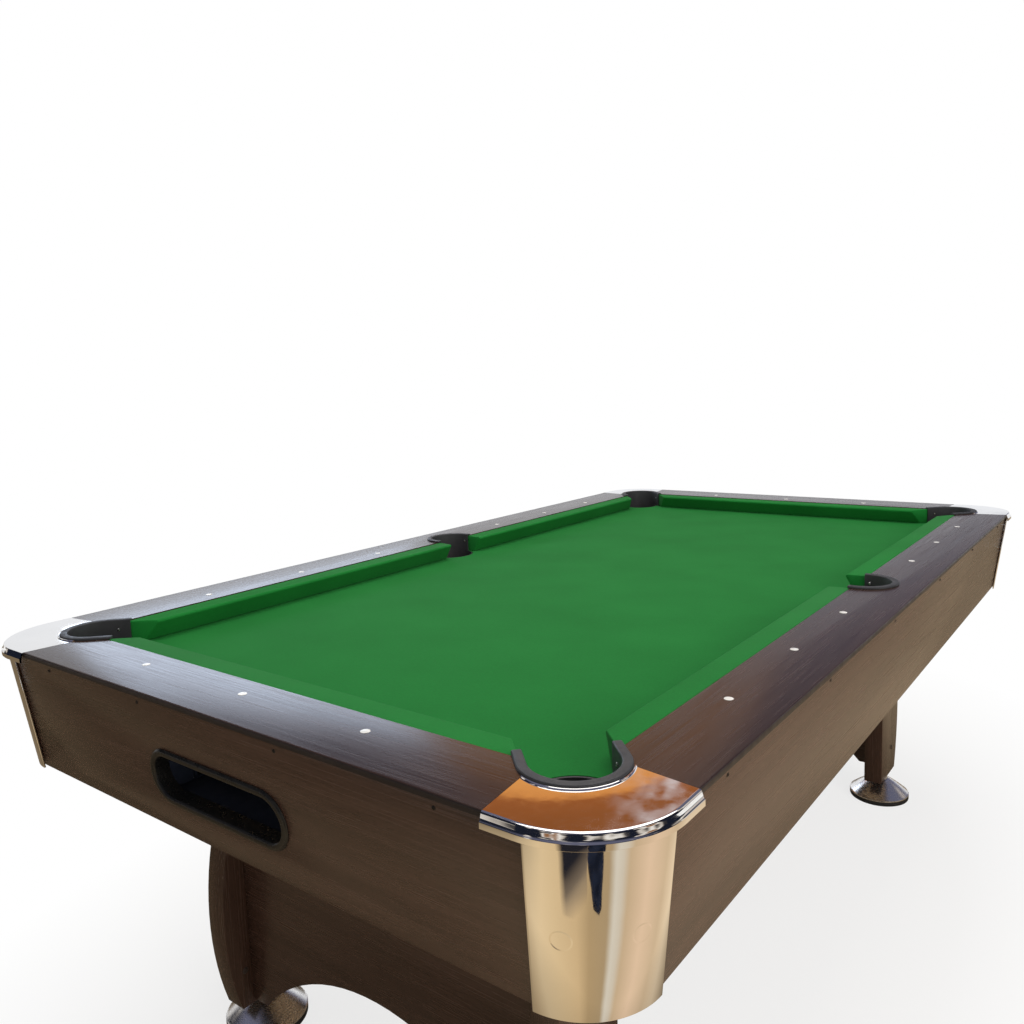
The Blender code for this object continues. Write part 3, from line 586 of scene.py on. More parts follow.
SCREW_RADIUS = 0.0028
SCREW_CROWN = 0.0012
SCREW_SUNK = 0.0008
SCREW_CURVE = ((0.40, 0.94), (0.75, 0.70), (1, 0.15))
SCREW_STEPS = 24
SLOT_WIDTH = 0.0009
SLOT_LENGTH = 0.0036
SCREW_HEIGHT = 0.8068
SCREWS_ACROSS = (0.157, 0.423)
SCREWS_ALONG = (0.182, 0.546, 0.911)
SCREW_COLOUR = (0.020, 0.018, 0.017)
CREASE_ANGLE = math.radians(25)
APRON_LEAN_FOOT = 0.027
APRON_SETBACK = 0.006


def combine(piece, tool, operation):
    """Cuts a tool out of a piece, or joins it on, and takes the tool away."""
    work(piece, "BOOLEAN", operation=operation, solver="EXACT", object=tool)
    bpy.data.objects.remove(tool)


first_head = crowned("apron_screw", SCREW_RADIUS, SCREW_CROWN, SCREW_SUNK, SCREW_CURVE,
                     SCREW_STEPS)
for turn in (0, QUARTER_TURN):
    bpy.ops.object.select_all(action="DESELECT")
    bpy.ops.mesh.primitive_cube_add(size=1, location=(0, 0, SCREW_CROWN), rotation=(0, 0, turn),
                                    scale=(SLOT_LENGTH, SLOT_WIDTH, SCREW_CROWN))
    combine(first_head, bpy.context.object, "DIFFERENCE")
smooth(first_head, CREASE_ANGLE)
first_head.data.materials.append(moulded("blacked_steel", SCREW_COLOUR, roughness=0.40,
                                         grain=0.0006, depth=0.00004, Metallic=0.6))
rail_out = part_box("rail_right")[1].x
rail_low, rail_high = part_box("rail_near")
rail_end = -rail_low.y
rail_top = rail_high.z
apron_low, apron_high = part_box("apron_near")
lean = APRON_LEAN_FOOT / (apron_high.z - apron_low.z)


def apron_face(height):
    """How far the apron's outer face stands in from the rail's outer edge at a height."""
    return APRON_SETBACK + lean * (apron_high.z - height)


def fix_screws(label, places, turn):
    """A row of screw heads along one apron."""
    for count, place in enumerate(places):
        head = set_facing(first_head, "apron_screw_" + label + "_" + str(count), place, turn)
        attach(head, "table")


screw_in = apron_face(SCREW_HEIGHT)
head_turn = QUARTER_TURN + math.atan(lean)
for way, label in ((-1, "near"), (1, "far")):
    y = way * (rail_end - screw_in)
    places = [(sign * x, y, SCREW_HEIGHT) for x in SCREWS_ACROSS for sign in (-1, 1)]
    fix_screws(label, places, (-way * head_turn, 0, 0))
for way, label in ((-1, "left"), (1, "right")):
    x = way * (rail_out - screw_in)
    places = [(x, sign * y, SCREW_HEIGHT) for y in SCREWS_ALONG for sign in (-1, 1)]
    fix_screws(label, places, (0, way * head_turn, 0))

# Oval bezel
# A glossy black moulding pushed into the oval hole of the near apron. Its rounded rim lies
# on the apron's face, and its collar runs back through the board to the tray.
BOX_HEIGHT = 0.698
BOX_HALF = 0.033
BOX_MIDDLE = 0.111
BEZEL_STEPS = 28
BEZEL_COLOUR = (0.006, 0.006, 0.006)
BEZEL_PROFILE = (
    (0.0000, -0.0210),
    (0.0000, 0.0008),
    (0.0005, 0.0022),
    (0.0018, 0.0036),
    (0.0036, 0.0042),
    (0.0062, 0.0043),
    (0.0086, 0.0040),
    (0.0100, 0.0032),
    (0.0106, 0.0021),
    (0.0112, 0.0016),
    (0.0118, 0.0012),
    (0.0120, 0.0004),
    (0.0042, 0.0004),
    (0.0040, -0.0006),
    (0.0040, -0.0210),
)
slant = math.hypot(1, lean)
face_up = Vector((0, -lean, 1)) / slant
face_out = Vector((0, -1, -lean)) / slant
face_middle = Vector((0, apron_face(BOX_HEIGHT) - rail_end, BOX_HEIGHT))


def on_face(along, up, out):
    """A point on the near apron's outer face, measured from the middle of the oval."""
    return face_middle + Vector((along, 0, 0)) + face_up * up + face_out * out


def filled_outline(name, points):
    """Starts a piece as one flat face drawn round its corners, all of it selected."""
    piece = draw_line(name, points)
    bpy.ops.mesh.select_all(action="SELECT")
    bpy.ops.mesh.edge_face_add()
    return piece


def closed_ring(name, points):
    """Starts a piece as a closed ring of edges, all of it selected."""
    piece = filled_outline(name, points)
    bpy.ops.mesh.delete(type="ONLY_FACE")
    bpy.ops.mesh.select_all(action="SELECT")
    return piece


bezel_ring = [on_face(BOX_MIDDLE, -BOX_HALF - reach, out) for reach, out in BEZEL_PROFILE]
bezel = closed_ring("ball_box_bezel", bezel_ring)
for middle, run in ((BOX_MIDDLE, -2 * BOX_MIDDLE), (-BOX_MIDDLE, 2 * BOX_MIDDLE)):
    bpy.ops.mesh.spin(steps=BEZEL_STEPS, angle=math.pi, center=on_face(middle, 0, 0),
                      axis=-face_out)
    pull((run, 0, 0))
close_up()
smooth(bezel)
bezel.data.materials.append(moulded("bezel_plastic", BEZEL_COLOUR, roughness=0.28, grain=0.0016,
                                    depth=0.000015, Specular_IOR_Level=0.35))
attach(bezel, "table")
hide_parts("ball_bezel")

# Bed cloth
# One sheet of green felt stretched over the bed panel and glued down, cut round at the six
# pockets and trimmed at the corners for the blocks. The cushions hold its edges.
FELT_DEEP = (0.0080, 0.138, 0.0215)
FELT_COLOUR = (0.0105, 0.170, 0.0280)
FELT_PALE = (0.0150, 0.198, 0.0350)
FELT_SHADES = ((0.36, FELT_DEEP), (0.52, FELT_COLOUR), (0.68, FELT_PALE))
FELT_TINT = (0.45, 0.85, 0.50, 1)
FELT_YARNS = ((0.010, 0.0011, 0.0015), (0.0011, 0.010, 0.0015))
YARN_SHARE = 0.35
NAP_SHARE = 0.35
CLOUD_SHARE = 0.30
BED_SHEEN = 0.03
CLOTH_HOLE = 0.0573
CLOTH_CORNER = 0.117
CORNER_POCKET = (0.5123, 1.0151)
SIDE_POCKET = 0.5433
HOLE_STEPS = 96
HOLE_DEPTH = 0.2


def felted(name, sheen):
    """Brushed woollen felt: fine crossed threads under a short nap, with soft cloudy shading."""
    material, tree, shader = finish_of(
        name, FELT_COLOUR, roughness=0.95, Specular_IOR_Level=0.15, Sheen_Weight=sheen,
        Sheen_Roughness=0.45, Sheen_Tint=FELT_TINT)
    clouds = cloud(tree, size=0.16, detail=4.0)
    nap = cloud(tree, size=0.0022, detail=5.0)
    weft, warp = (cloud(tree, size=1.0, stretch=[1 / reach for reach in yarn])
                  for yarn in FELT_YARNS)
    woven = reckon(tree, "MULTIPLY", reckon(tree, "MAXIMUM", weft, warp), YARN_SHARE)
    napped = reckon(tree, "MULTIPLY_ADD", nap, NAP_SHARE, woven)
    mixed = reckon(tree, "MULTIPLY_ADD", clouds, CLOUD_SHARE, napped)
    fill(tree, shader, {
        "Base Color": shades(tree, mixed, FELT_SHADES),
        "Roughness": spread(tree, nap, low=0.88, high=1.0),
    })
    relief(tree, shader, napped, depth=0.00035, strength=0.6)
    return material


def cut_off(place, way, capped=True):
    """Cuts away all that lies beyond a plane."""
    bpy.ops.mesh.select_all(action="SELECT")
    bpy.ops.mesh.bisect(plane_co=place, plane_no=way, use_fill=capped, clear_outer=True)


def punch(piece, radius, place):
    """Cuts a round hole straight down through a piece."""
    bpy.ops.object.select_all(action="DESELECT")
    bpy.ops.mesh.primitive_cylinder_add(vertices=HOLE_STEPS, radius=radius, depth=HOLE_DEPTH,
                                        location=place)
    combine(piece, bpy.context.object, "DIFFERENCE")


cloth_low, cloth_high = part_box("bed_cloth")
cloth_half = (cloth_high - cloth_low) / 2
bed_cloth = plane("bed_felt", size=2, place=(0, 0, cloth_low.z))
bed_cloth.scale = (cloth_half.x, cloth_half.y, 1)
settle(bed_cloth)
bpy.ops.object.mode_set(mode="EDIT")
for sign_x in (-1, 1):
    for sign_y in (-1, 1):
        cut = (sign_x * (cloth_half.x - CLOTH_CORNER / 2),
               sign_y * (cloth_half.y - CLOTH_CORNER / 2), 0)
        cut_off(cut, (sign_x, sign_y, 0), capped=False)
close_up()
work(bed_cloth, "SOLIDIFY", thickness=cloth_high.z - cloth_low.z, offset=1.0)
pockets = [(x * CORNER_POCKET[0], y * CORNER_POCKET[1]) for x in (-1, 1) for y in (-1, 1)]
pockets += [(-SIDE_POCKET, 0), (SIDE_POCKET, 0)]
for x, y in pockets:
    punch(bed_cloth, CLOTH_HOLE, (x, y, cloth_low.z))
bed_cloth.location.z = cloth_low.z - min(vertex.co.z for vertex in bed_cloth.data.vertices)
settle(bed_cloth)
bed_cloth.data.materials.append(felted("bed_felt_green", BED_SHEEN))
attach(bed_cloth, "table")
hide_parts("bed_cloth")

# Top rails
# Four broad rails of board covered in the same foil, the grain along them, their outer edge
# rounded over and its faces given a darker finish. They are notched round the pockets.
EDGE_COLOUR = (0.016, 0.011, 0.010)
EDGE_NEAR = 0.0012
RAIL_TONE = 0.72
edge_finish = moulded("rail_outer_edge_dark", EDGE_COLOUR, roughness=0.38, grain=0.0015, depth=0.00005,
                      Specular_IOR_Level=0.3)
for count, (side, along) in enumerate(GRAIN_WAY.items()):
    rail_shift = (2.3 * count + 5, 1.1 * count, 4.0)
    rail_finish = wood_foil("rail_foil_" + side, along, rail_shift, RAIL_TONE)
    rail_board = board_over("rail_" + side, "rail_board_" + side, rail_finish, ease=0)
    rail_board.data.materials.append(edge_finish)
    across = 1 - along
    outside = (rail_out, rail_end)[across] - EDGE_NEAR
    # The faces along the outer edge take the darker finish.
    for face in rail_board.data.polygons:
        if abs(face.center[across]) > outside:
            face.material_index = 1

# Sights
# Eighteen white plastic buttons let into the rails, three between pockets on each long side
# and three across each end. Each stands up by a hair and is slightly crowned.
SIGHT_STEP = 0.24765
SIGHT_IN = 0.078
SIGHT_RADIUS = 0.0064
SIGHT_CROWN = 0.0007
SIGHT_SUNK = 0.0010
SIGHT_CURVE = ((0.45, 0.96), (0.80, 0.82), (0.95, 0.60), (1, 0.25))
SIGHT_STEPS = 40
SIGHT_COLOUR = (0.78, 0.77, 0.74)
first_sight = crowned("sight", SIGHT_RADIUS, SIGHT_CROWN, SIGHT_SUNK, SIGHT_CURVE, SIGHT_STEPS)
first_sight.data.materials.append(moulded("sight_white", SIGHT_COLOUR, roughness=0.30,
                                          grain=0.0012, depth=0.00002))
sight_places = [(step * SIGHT_STEP, way * (rail_end - SIGHT_IN), rail_top)
                for way in (-1, 1) for step in (-1, 0, 1)]
sight_places += [(way * (rail_out - SIGHT_IN), step * SIGHT_STEP, rail_top)
                 for way in (-1, 1) for step in (-3, -2, -1, 1, 2, 3)]
for count, place in enumerate(sight_places):
    sight = moved_copy(first_sight, "sight_" + str(count), place)
    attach(sight, "table")
bpy.data.objects.remove(first_sight)

# Cushions
# Rubber noses wrapped in the bed's felt, glued to the rails' inner edges. The felt is tucked
# into a groove along the rail, and the ends are cut back for the pockets and folded over.
CUSHION_PROFILE = (
    (0.1193, 0.7863),
    (0.1193, 0.8240),
    (0.1196, 0.8254),
    (0.1208, 0.8264),
    (0.1230, 0.8268),
    (0.1300, 0.8269),
    (0.1400, 0.8267),
    (0.1500, 0.8264),
    (0.1580, 0.8261),
    (0.1603, 0.8260),
)
NOSE_PLACE = (0.1600, 0.8220)
NOSE_RADIUS = 0.0040
NOSE_STEPS = 9
NOSE_TOP = 80
NOSE_UNDER = -55
CUSHION_FOOT = (0.1440, 0.7863)
CUSHION_NOSE = 0.164
CUSHION_BACK = 0.119
CORNER_MOUTH = 0.2460
SIDE_MOUTH = 0.0580
SIDE_FLARE = 0.05
FOLD_EDGE = 0.0016
CUSHION_SHEEN = 0.05
cushion_felt = felted("cushion_felt_green", CUSHION_SHEEN)
section = list(CUSHION_PROFILE)
for step in range(NOSE_STEPS + 1):
    angle = math.radians(NOSE_TOP + (NOSE_UNDER - NOSE_TOP) * step / NOSE_STEPS)
    section.append((NOSE_PLACE[0] + NOSE_RADIUS * math.cos(angle),
                    NOSE_PLACE[1] + NOSE_RADIUS * math.sin(angle)))
section.append(CUSHION_FOOT)


def cushion_between(name, points, run, cuts):
    """A cushion drawn as a section, run out along its rail and cut off at both ends."""
    piece = filled_outline(name, points)
    pull(run)
    for place, way in cuts:
        cut_off(place, way)
    close_up()
    ease_edges(piece, FOLD_EDGE)
    smooth(piece)
    piece.data.materials.append(cushion_felt)
    return piece


def mirrored_copy(piece, name, across):
    """A copy of a piece on the other side of the table, with its faces turned outwards."""
    copy = twin(piece, name)
    copy.scale = (-1, 1, 1) if across else (1, -1, 1)
    settle(copy)
    bpy.ops.object.mode_set(mode="EDIT")
    close_up()
    return copy


def at_each_corner(piece):
    """A piece of the near right corner and its mirrored copies for the other three."""
    far = mirrored_copy(piece, piece.name.replace("near", "far"), False)
    left = [mirrored_copy(one, one.name.replace("right", "left"), True) for one in (piece, far)]
    return [piece, far, *left]


end_place = rail_out - CORNER_MOUTH
near_points = [(-rail_out, -rail_end + inward, height) for inward, height in section]
near_cuts = [
    ((end_place, -rail_end + CUSHION_NOSE, 0), (1, 1, 0)),
    ((-end_place, -rail_end + CUSHION_NOSE, 0), (-1, 1, 0)),
]
cushion_near = cushion_between("cushion_felt_near", near_points, (2 * rail_out, 0, 0), near_cuts)
side_points = [(rail_out - inward, -rail_end, height) for inward, height in section]
side_cuts = [
    ((rail_out - CUSHION_NOSE, CORNER_MOUTH - rail_end, 0), (-1, -1, 0)),
    ((rail_out - CUSHION_BACK, -SIDE_MOUTH, 0), (-SIDE_FLARE, 1, 0)),
]
cushion_side = cushion_between("cushion_felt_right_near", side_points, (0, rail_end, 0), side_cuts)
cushion_far = mirrored_copy(cushion_near, "cushion_felt_far", False)
for cushion in (cushion_near, cushion_far, *at_each_corner(cushion_side)):
    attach(cushion, "table")
    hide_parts(cushion.name.replace("_felt", ""))

# Pocket liners
# Moulded rubber horseshoes in the notches of the rails. A thick rounded rim lies on the rail
# top, a wall goes down to the bed, and a boot goes on through the bed as a full ring. Two
# bright screws go through each wall, one near the end of each arm.
LINER_STEPS = 48
LINER_COLOUR = (0.030, 0.031, 0.034)
LINER_PROFILE = (
    (0.0530, 0.7820),
    (0.0530, 0.8300),
    (0.0533, 0.8312),
    (0.0541, 0.8320),
    (0.0553, 0.8323),
    (0.0630, 0.8323),
    (0.0648, 0.8319),
    (0.0657, 0.8309),
    (0.0660, 0.8297),
    (0.0660, 0.8283),
    (0.0565, 0.8283),
    (0.0565, 0.7820),
)
BOOT_PROFILE = ((0.0527, 0.7602), (0.0527, 0.7855), (0.0562, 0.7855), (0.0562, 0.7602))
WALL_FOOT = 0.7863
CORNER_ARM = 0.038
SIDE_ARM = 0.012
LINER_SCREW_HEIGHT = 0.813
CORNER_SCREW_BACK = 0.016
SIDE_SCREW_BACK = 0.002
liner_finish = moulded("liner_rubber", LINER_COLOUR, roughness=0.50, grain=0.0010, depth=0.00012)


def choose(piece, wanted):
    """Selects the points of a piece in edit mode by their place."""
    bpy.ops.mesh.select_mode(type="VERT")
    bpy.ops.mesh.select_all(action="DESELECT")
    bpy.ops.object.mode_set(mode="OBJECT")
    for vertex in piece.data.vertices:
        vertex.select = wanted(vertex.co)
    bpy.ops.object.mode_set(mode="EDIT")


def liner_at(name, centre, outward, arm):
    """A liner spun half round its pocket, with straight arms towards the table."""
    out = Vector((math.cos(outward), math.sin(outward), 0))
    side = Vector((-out.y, out.x, 0))
    middle = Vector((centre[0], centre[1], 0))
    liner_ring = [middle - side * radius + Vector((0, 0, height))
                  for radius, height in LINER_PROFILE]
    piece = closed_ring(name, liner_ring)
    bpy.ops.mesh.spin(steps=LINER_STEPS, angle=math.pi, center=middle, axis=(0, 0, -1))
    for way in (-1, 1):
        choose(piece, lambda co: abs((co - middle).dot(out)) < WELD
               and (co - middle).dot(side) * way > 0)
        pull(-out * arm)
        bpy.ops.mesh.edge_face_add()
    choose(piece, lambda co: (co - middle).dot(out) < WELD and co.z < WALL_FOOT)
    bpy.ops.transform.resize(value=(1, 1, 0))
    bpy.ops.transform.translate(value=(0, 0, WALL_FOOT - LINER_PROFILE[0][1]))
    close_up()
    boot_ring = [middle + out * radius + Vector((0, 0, height)) for radius, height in BOOT_PROFILE]
    boot = closed_ring(name + "_boot", boot_ring)
    bpy.ops.mesh.spin(steps=2 * LINER_STEPS, angle=2 * math.pi, center=middle, axis=(0, 0, 1))
    close_up()
    combine(piece, boot, "UNION")
    smooth(piece)
    piece.data.materials.append(liner_finish)
    return piece


corner_liner = liner_at("liner_rubber_near_right", (CORNER_POCKET[0], -CORNER_POCKET[1]),
                        -QUARTER_TURN / 2, CORNER_ARM)
side_liner = liner_at("liner_rubber_right", (SIDE_POCKET, 0), outward=0, arm=SIDE_ARM)
liners = at_each_corner(corner_liner)
liners += [side_liner, mirrored_copy(side_liner, "liner_rubber_left", True)]
for liner in liners:
    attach(liner, "table")
    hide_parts(liner.name.replace("_rubber", ""))

for x_way, x_label in ((-1, "left"), (1, "right")):
    for y_way, y_label in ((-1, "near_"), (0, ""), (1, "far_")):
        outward = math.atan2(y_way, x_way)
        out = Vector((math.cos(outward), math.sin(outward), 0))
        side = Vector((-out.y, out.x, 0))
        pocket = Vector((x_way * (CORNER_POCKET[0] if y_way else SIDE_POCKET),
                         y_way * CORNER_POCKET[1], LINER_SCREW_HEIGHT))
        back = out * (CORNER_SCREW_BACK if y_way else SIDE_SCREW_BACK)
        for count, way in enumerate((-1, 1)):
            place = pocket - back + side * way * LINER_PROFILE[0][0]
            turn = (QUARTER_TURN, 0, outward + (way - 1) * QUARTER_TURN)
            label = "liner_screw_" + y_label + x_label + "_" + str(count)
            head = set_facing(first_head, label, place, turn)
            head.data.materials[0] = zinc_finish
            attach(head, "table")
bpy.data.objects.remove(first_head)

# Corner skirts
# Thin mouldings plated with chrome, wrapped round the leaning corners of the cabinet.
# They are tucked up under the caps and screwed from inside, through two bosses each.
SKIRT_RADIUS = 0.116
SKIRT_FOOT = 0.100
SKIRT_TAPER = SKIRT_FOOT / SKIRT_RADIUS
SKIRT_THICK = 0.003
SKIRT_STAND = 0.0042
SKIRT_ENDS = (0.109, 0.094)
SKIRT_STEPS = 64
SKIRT_EDGE = 0.0006
BOSS_PLACES = ((0.0874, 0.0284, 0.703), (0.0311, 0.0833, 0.703))
BOSS_EDGE = (0.0112, 0.0128)
BOSS_DEPTH = -3.0
skirt_low, skirt_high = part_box("skirt_near_right")


def in_corner(inward_x, inward_y, height):
    """A point at the near right corner, measured inwards from the rails' outer corner."""
    return Vector((rail_out - inward_x, inward_y - rail_end, height))


heights = (skirt_high.z, skirt_low.z)
insets = [apron_face(height) - SKIRT_STAND for height in heights]
turn_centre = insets[0] + SKIRT_RADIUS
skirt = draw_line("corner_skirt_near_right", [in_corner(turn_centre, insets[0], heights[0])])
bpy.ops.mesh.select_all(action="SELECT")
bpy.ops.mesh.spin(steps=SKIRT_STEPS, angle=QUARTER_TURN, axis=(0, 0, -1),
                  center=in_corner(turn_centre, turn_centre, heights[0]))
bpy.ops.mesh.select_all(action="SELECT")
inward = insets[1] - insets[0]
pull((-inward, inward, heights[1] - heights[0]))
bpy.ops.transform.resize(value=(SKIRT_TAPER, SKIRT_TAPER, 1),
                         center_override=in_corner(insets[1], insets[1], heights[1]))
ends = [apron_face(height) + reach for height, reach in zip(heights, SKIRT_ENDS)]
for swap in (False, True):
    corners = []
    for along, inset, height in zip(ends, insets, heights):
        corners.append(in_corner(*((inset, along) if swap else (along, inset)), height))
    down = corners[1] - corners[0]
    across = Vector((1, 0, 0)) if swap else Vector((0, 1, 0))
    way = down.cross(across)
    if way.dot(in_corner(turn_centre, turn_centre, 0) - in_corner(0, 0, 0)) < 0:
        way.negate()
    cut_off(corners[0], way, capped=False)
close_up()
outward = skirt.data.polygons[0].normal.dot(Vector((1, -1, 0)))
work(skirt, "SOLIDIFY", thickness=SKIRT_THICK, offset=-1.0 if outward > 0 else 1.0,
     use_even_offset=True)
bpy.ops.object.mode_set(mode="EDIT")
close_up()
ease_edges(skirt, SKIRT_EDGE, segments=2)
smooth(skirt)


def measured(tree, operation, *values):
    """A place, or else a length, worked out from places in a material."""
    node = add(tree, "ShaderNodeVectorMath", dict(enumerate(values)), operation=operation)
    return node.outputs["Vector" if operation in ("ABSOLUTE", "SUBTRACT") else "Value"]


def boss_marks(tree):
    """Two faint round marks over the bosses behind each skirt, alike at all four corners."""
    folded = measured(tree, "ABSOLUTE", own_place(tree))
    marks = []
    for inward_x, inward_y, height in BOSS_PLACES:
        middle = (rail_out - inward_x, rail_end - inward_y, height)
        span = measured(tree, "DISTANCE", folded, middle)
        marks.append(spread(tree, span, BOSS_DEPTH, 0.0, *BOSS_EDGE))
    return reckon(tree, "ADD", *marks)


skirt.data.materials.append(chromed("skirt_chrome", marks=boss_marks))
for piece in at_each_corner(skirt):
    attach(piece, "table")
    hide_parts(piece.name.replace("corner_", ""))

# Corner caps
# Chromed mouldings that close the corners between the rails. The flat top is notched for the
# pocket, with a raised bead round the notch, and the outer lip flares down to a flange.
CAP_CENTRE = 0.118
CAP_STEPS = 64
CAP_RUN = 0.085
CAP_REACH = 0.160
CAP_FLARE = 0.13
POCKET_CUT = 0.0573
NOTCH_BEAD = (
    (0.0665, -0.0010),
    (0.0665, 0.0008),
    (0.0669, 0.0015),
    (0.0677, 0.0019),
    (0.0687, 0.0017),
    (0.0696, 0.0009),
    (0.0702, -0.0001),
    (0.0704, -0.0010),
)
CAP_SECTION = (
    (0.0000, 0.0000),
    (0.1165, 0.0000),
    (0.1184, -0.0002),
    (0.1193, -0.0006),
    (0.1199, -0.0013),
    (0.1206, -0.0030),
    (0.1216, -0.0060),
    (0.1226, -0.0082),
    (0.1236, -0.0091),
    (0.1241, -0.0099),
    (0.1242, -0.0110),
    (0.1242, -0.0166),
    (0.1238, -0.0170),
    (0.1216, -0.0170),
    (0.1212, -0.0166),
    (0.1212, -0.0105),
    (0.1190, -0.0060),
    (0.1172, -0.0030),
    (0.0000, -0.0030),
)
cap_axis = in_corner(CAP_CENTRE, CAP_CENTRE, 0)
cap_ends = (
    (in_corner(CAP_REACH, 0, 0), (-1, -CAP_FLARE, 0)),
    (in_corner(0, CAP_REACH, 0), (CAP_FLARE, 1, 0)),
)


def cut_ends():
    """Welds the corner piece in edit mode and cuts it off where the rails begin."""
    bpy.ops.mesh.select_all(action="SELECT")
    bpy.ops.mesh.remove_doubles(threshold=WELD)
    for place, way in cap_ends:
        cut_off(place, way)
    close_up()


cap_ring = [in_corner(CAP_CENTRE, CAP_CENTRE - radius, rail_top + drop)
            for radius, drop in CAP_SECTION]
cap = closed_ring("corner_cap_near_right", cap_ring)
bpy.ops.mesh.spin(steps=CAP_STEPS, angle=QUARTER_TURN, center=cap_axis, axis=(0, 0, -1))
for run in (Vector((-CAP_RUN, 0, 0)), Vector((0, CAP_RUN, 0))):
    way = run.normalized()
    choose(cap, lambda co: abs((co - cap_axis).dot(way)) < WELD)
    pull(run)
    bpy.ops.mesh.edge_face_add()
cut_ends()
pocket_axis = (CORNER_POCKET[0], -CORNER_POCKET[1], rail_top)
bead_ring = [(pocket_axis[0] + radius, pocket_axis[1], rail_top + lift)
             for radius, lift in NOTCH_BEAD]
bead = closed_ring("notch_bead", bead_ring)
bpy.ops.mesh.spin(steps=HOLE_STEPS, angle=2 * math.pi, center=pocket_axis, axis=(0, 0, -1))
cut_ends()
combine(cap, bead, "UNION")
punch(cap, POCKET_CUT, pocket_axis)
smooth(cap, CREASE_ANGLE)
cap.data.materials.append(chromed("cap_chrome"))
for piece in at_each_corner(cap):
    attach(piece, "table")
    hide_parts(piece.name.replace("corner_", ""))

# Floor
# A plain pale studio floor. Far from the table it fades into the white of the background,
# and close by it takes the table's own shadow.
FLOOR_SIZE = 60
FLOOR_COLOUR = (0.80, 0.79, 0.77)
FLOOR_REACH = (0.70, 1.20)
FADE = (1.0, 1.8)
FADE_LEAST = 0.76


def oval_span(tree):
    """How far out a point of the floor lies, in shares of an oval round the table."""
    oval = add(tree, "ShaderNodeMapping", {
        "Vector": own_place(tree), "Scale": (1 / FLOOR_REACH[0], 1 / FLOOR_REACH[1], 0)})
    return measured(tree, "LENGTH", oval.outputs["Vector"])


def seen_rays(tree):
    """One where the camera, a mirror or glass looks, and zero where light is gathered."""
    path = add(tree, "ShaderNodeLightPath").outputs
    glossy = reckon(tree, "MAXIMUM", path["Is Camera Ray"], path["Is Glossy Ray"])
    return reckon(tree, "MAXIMUM", glossy, path["Is Transmission Ray"])


floor = plane("studio_floor", FLOOR_SIZE, (0, 0, 0))
floor_finish, floor_tree, floor_shader = finish_of(
    "studio_floor", FLOOR_COLOUR, roughness=0.9, Specular_IOR_Level=0.0)
away = spread(floor_tree, oval_span(floor_tree), FADE_LEAST, 1.0, *FADE)
shown = reckon(floor_tree, "MULTIPLY", away, seen_rays(floor_tree))
white = add(floor_tree, "ShaderNodeEmission", {"Color": (1, 1, 1, 1), "Strength": 1.0})
faded = add(floor_tree, "ShaderNodeMixShader", {
    0: shown, 1: floor_shader.outputs[0], 2: white.outputs[0]})
fill(floor_tree, floor_tree.nodes["Material Output"], {"Surface": faded.outputs[0]})
floor.data.materials.append(floor_finish)

# Painted reflections
# Glowing cards round the table, seen in gloss only: a warm one lies flat on the floor, dark ones
# stand at the front corner, a brown and a pale one hang beyond. They light and shade nothing.
WARM_SIZE = 14
WARM_LIFT = 0.001
WARM_MIDDLE = (0.52, -1.02)
WARM_TONES = (
    (0.00, (0.62, 0.46, 0.28)),
    (0.12, (0.70, 0.52, 0.31)),
    (0.18, (0.84, 0.65, 0.40)),
    (0.25, (0.76, 0.57, 0.33)),
    (0.32, (0.68, 0.49, 0.27)),
    (0.36, (0.48, 0.34, 0.18)),
    (0.415, (0.44, 0.32, 0.18)),
    (0.435, (0.72, 0.66, 0.55)),
    (0.455, (0.68, 0.60, 0.48)),
    (0.475, (0.62, 0.46, 0.29)),
    (0.54, (0.82, 0.60, 0.41)),
    (0.61, (0.68, 0.51, 0.33)),
    (0.66, (0.88, 0.70, 0.48)),
    (0.76, (0.70, 0.53, 0.34)),
)
# Shares of the warm glow: painted shadow under the table, painted shade to the left, a fade
# further back.
WARM_UNDER = 0.25
WARM_OPEN = (0.9, 1.5)
WARM_LEFT = (-0.8, 0.3)
WARM_LEFT_SHARE = 0.30
WARM_FAR = (0.0, 2.2)
WARM_FAR_SHARE = 0.55
DARK_NAVY = (0.010, 0.013, 0.024)
FLAG_TOP = 0.9
NAVY_ENDS = ((1.042, -1.706), (1.202, -1.547))
NAVY_OUTLINE = ((0.85, 0), (1, 0.06), (1, FLAG_TOP), (0, FLAG_TOP), (0, 0.40), (0.45, 0.06))
BROWN_ENDS = ((0.670, -1.885), (1.035, -1.700))
BROWN_OUTLINE = ((0, 0), (1, 0), (1, FLAG_TOP), (0, FLAG_TOP))
BROWN_TONES = (
    (0.05, (0.26, 0.20, 0.14)),
    (0.18, (0.13, 0.10, 0.075)),
    (0.27, (0.016, 0.016, 0.022)),
)
BROWN_SLANT = 0.25
BROWN_FADE = (-0.14, 0.12)
BROWN_EDGE = 0.22
PANEL_SIZE = (2.7, 1.9)
CARD_AIM = 0.05
CARD_AWAY = 6.0
PANEL_TURN = (121.0, 27.9)
PANEL_SLOPE = 0.17
PANEL_RISE = (-0.8, 0.8)
PANEL_TONES = (
    (0.30, (0.76, 0.33, 0.090)),
    (0.435, (0.68, 0.27, 0.072)),
    (0.455, (0.33, 0.105, 0.030)),
    (0.75, (0.27, 0.090, 0.027)),
)
# Painted highlight: pale clouds over one side of the brown card.
PANEL_GLEAM = (0.70, 0.64, 0.66)
GLEAM_EDGE = (0.48, 0.64)
GLEAM_START = (0.0, 0.7)
# Painted sheen on the rails and metal, from a bright pale glowing card.
PALE_SIZE = (2.5, 1.2)
PALE_TURN = (147.5, 16.0)
PALE_COLOUR = (0.80, 0.92, 1.12)
PALE_LEVEL = 3.9


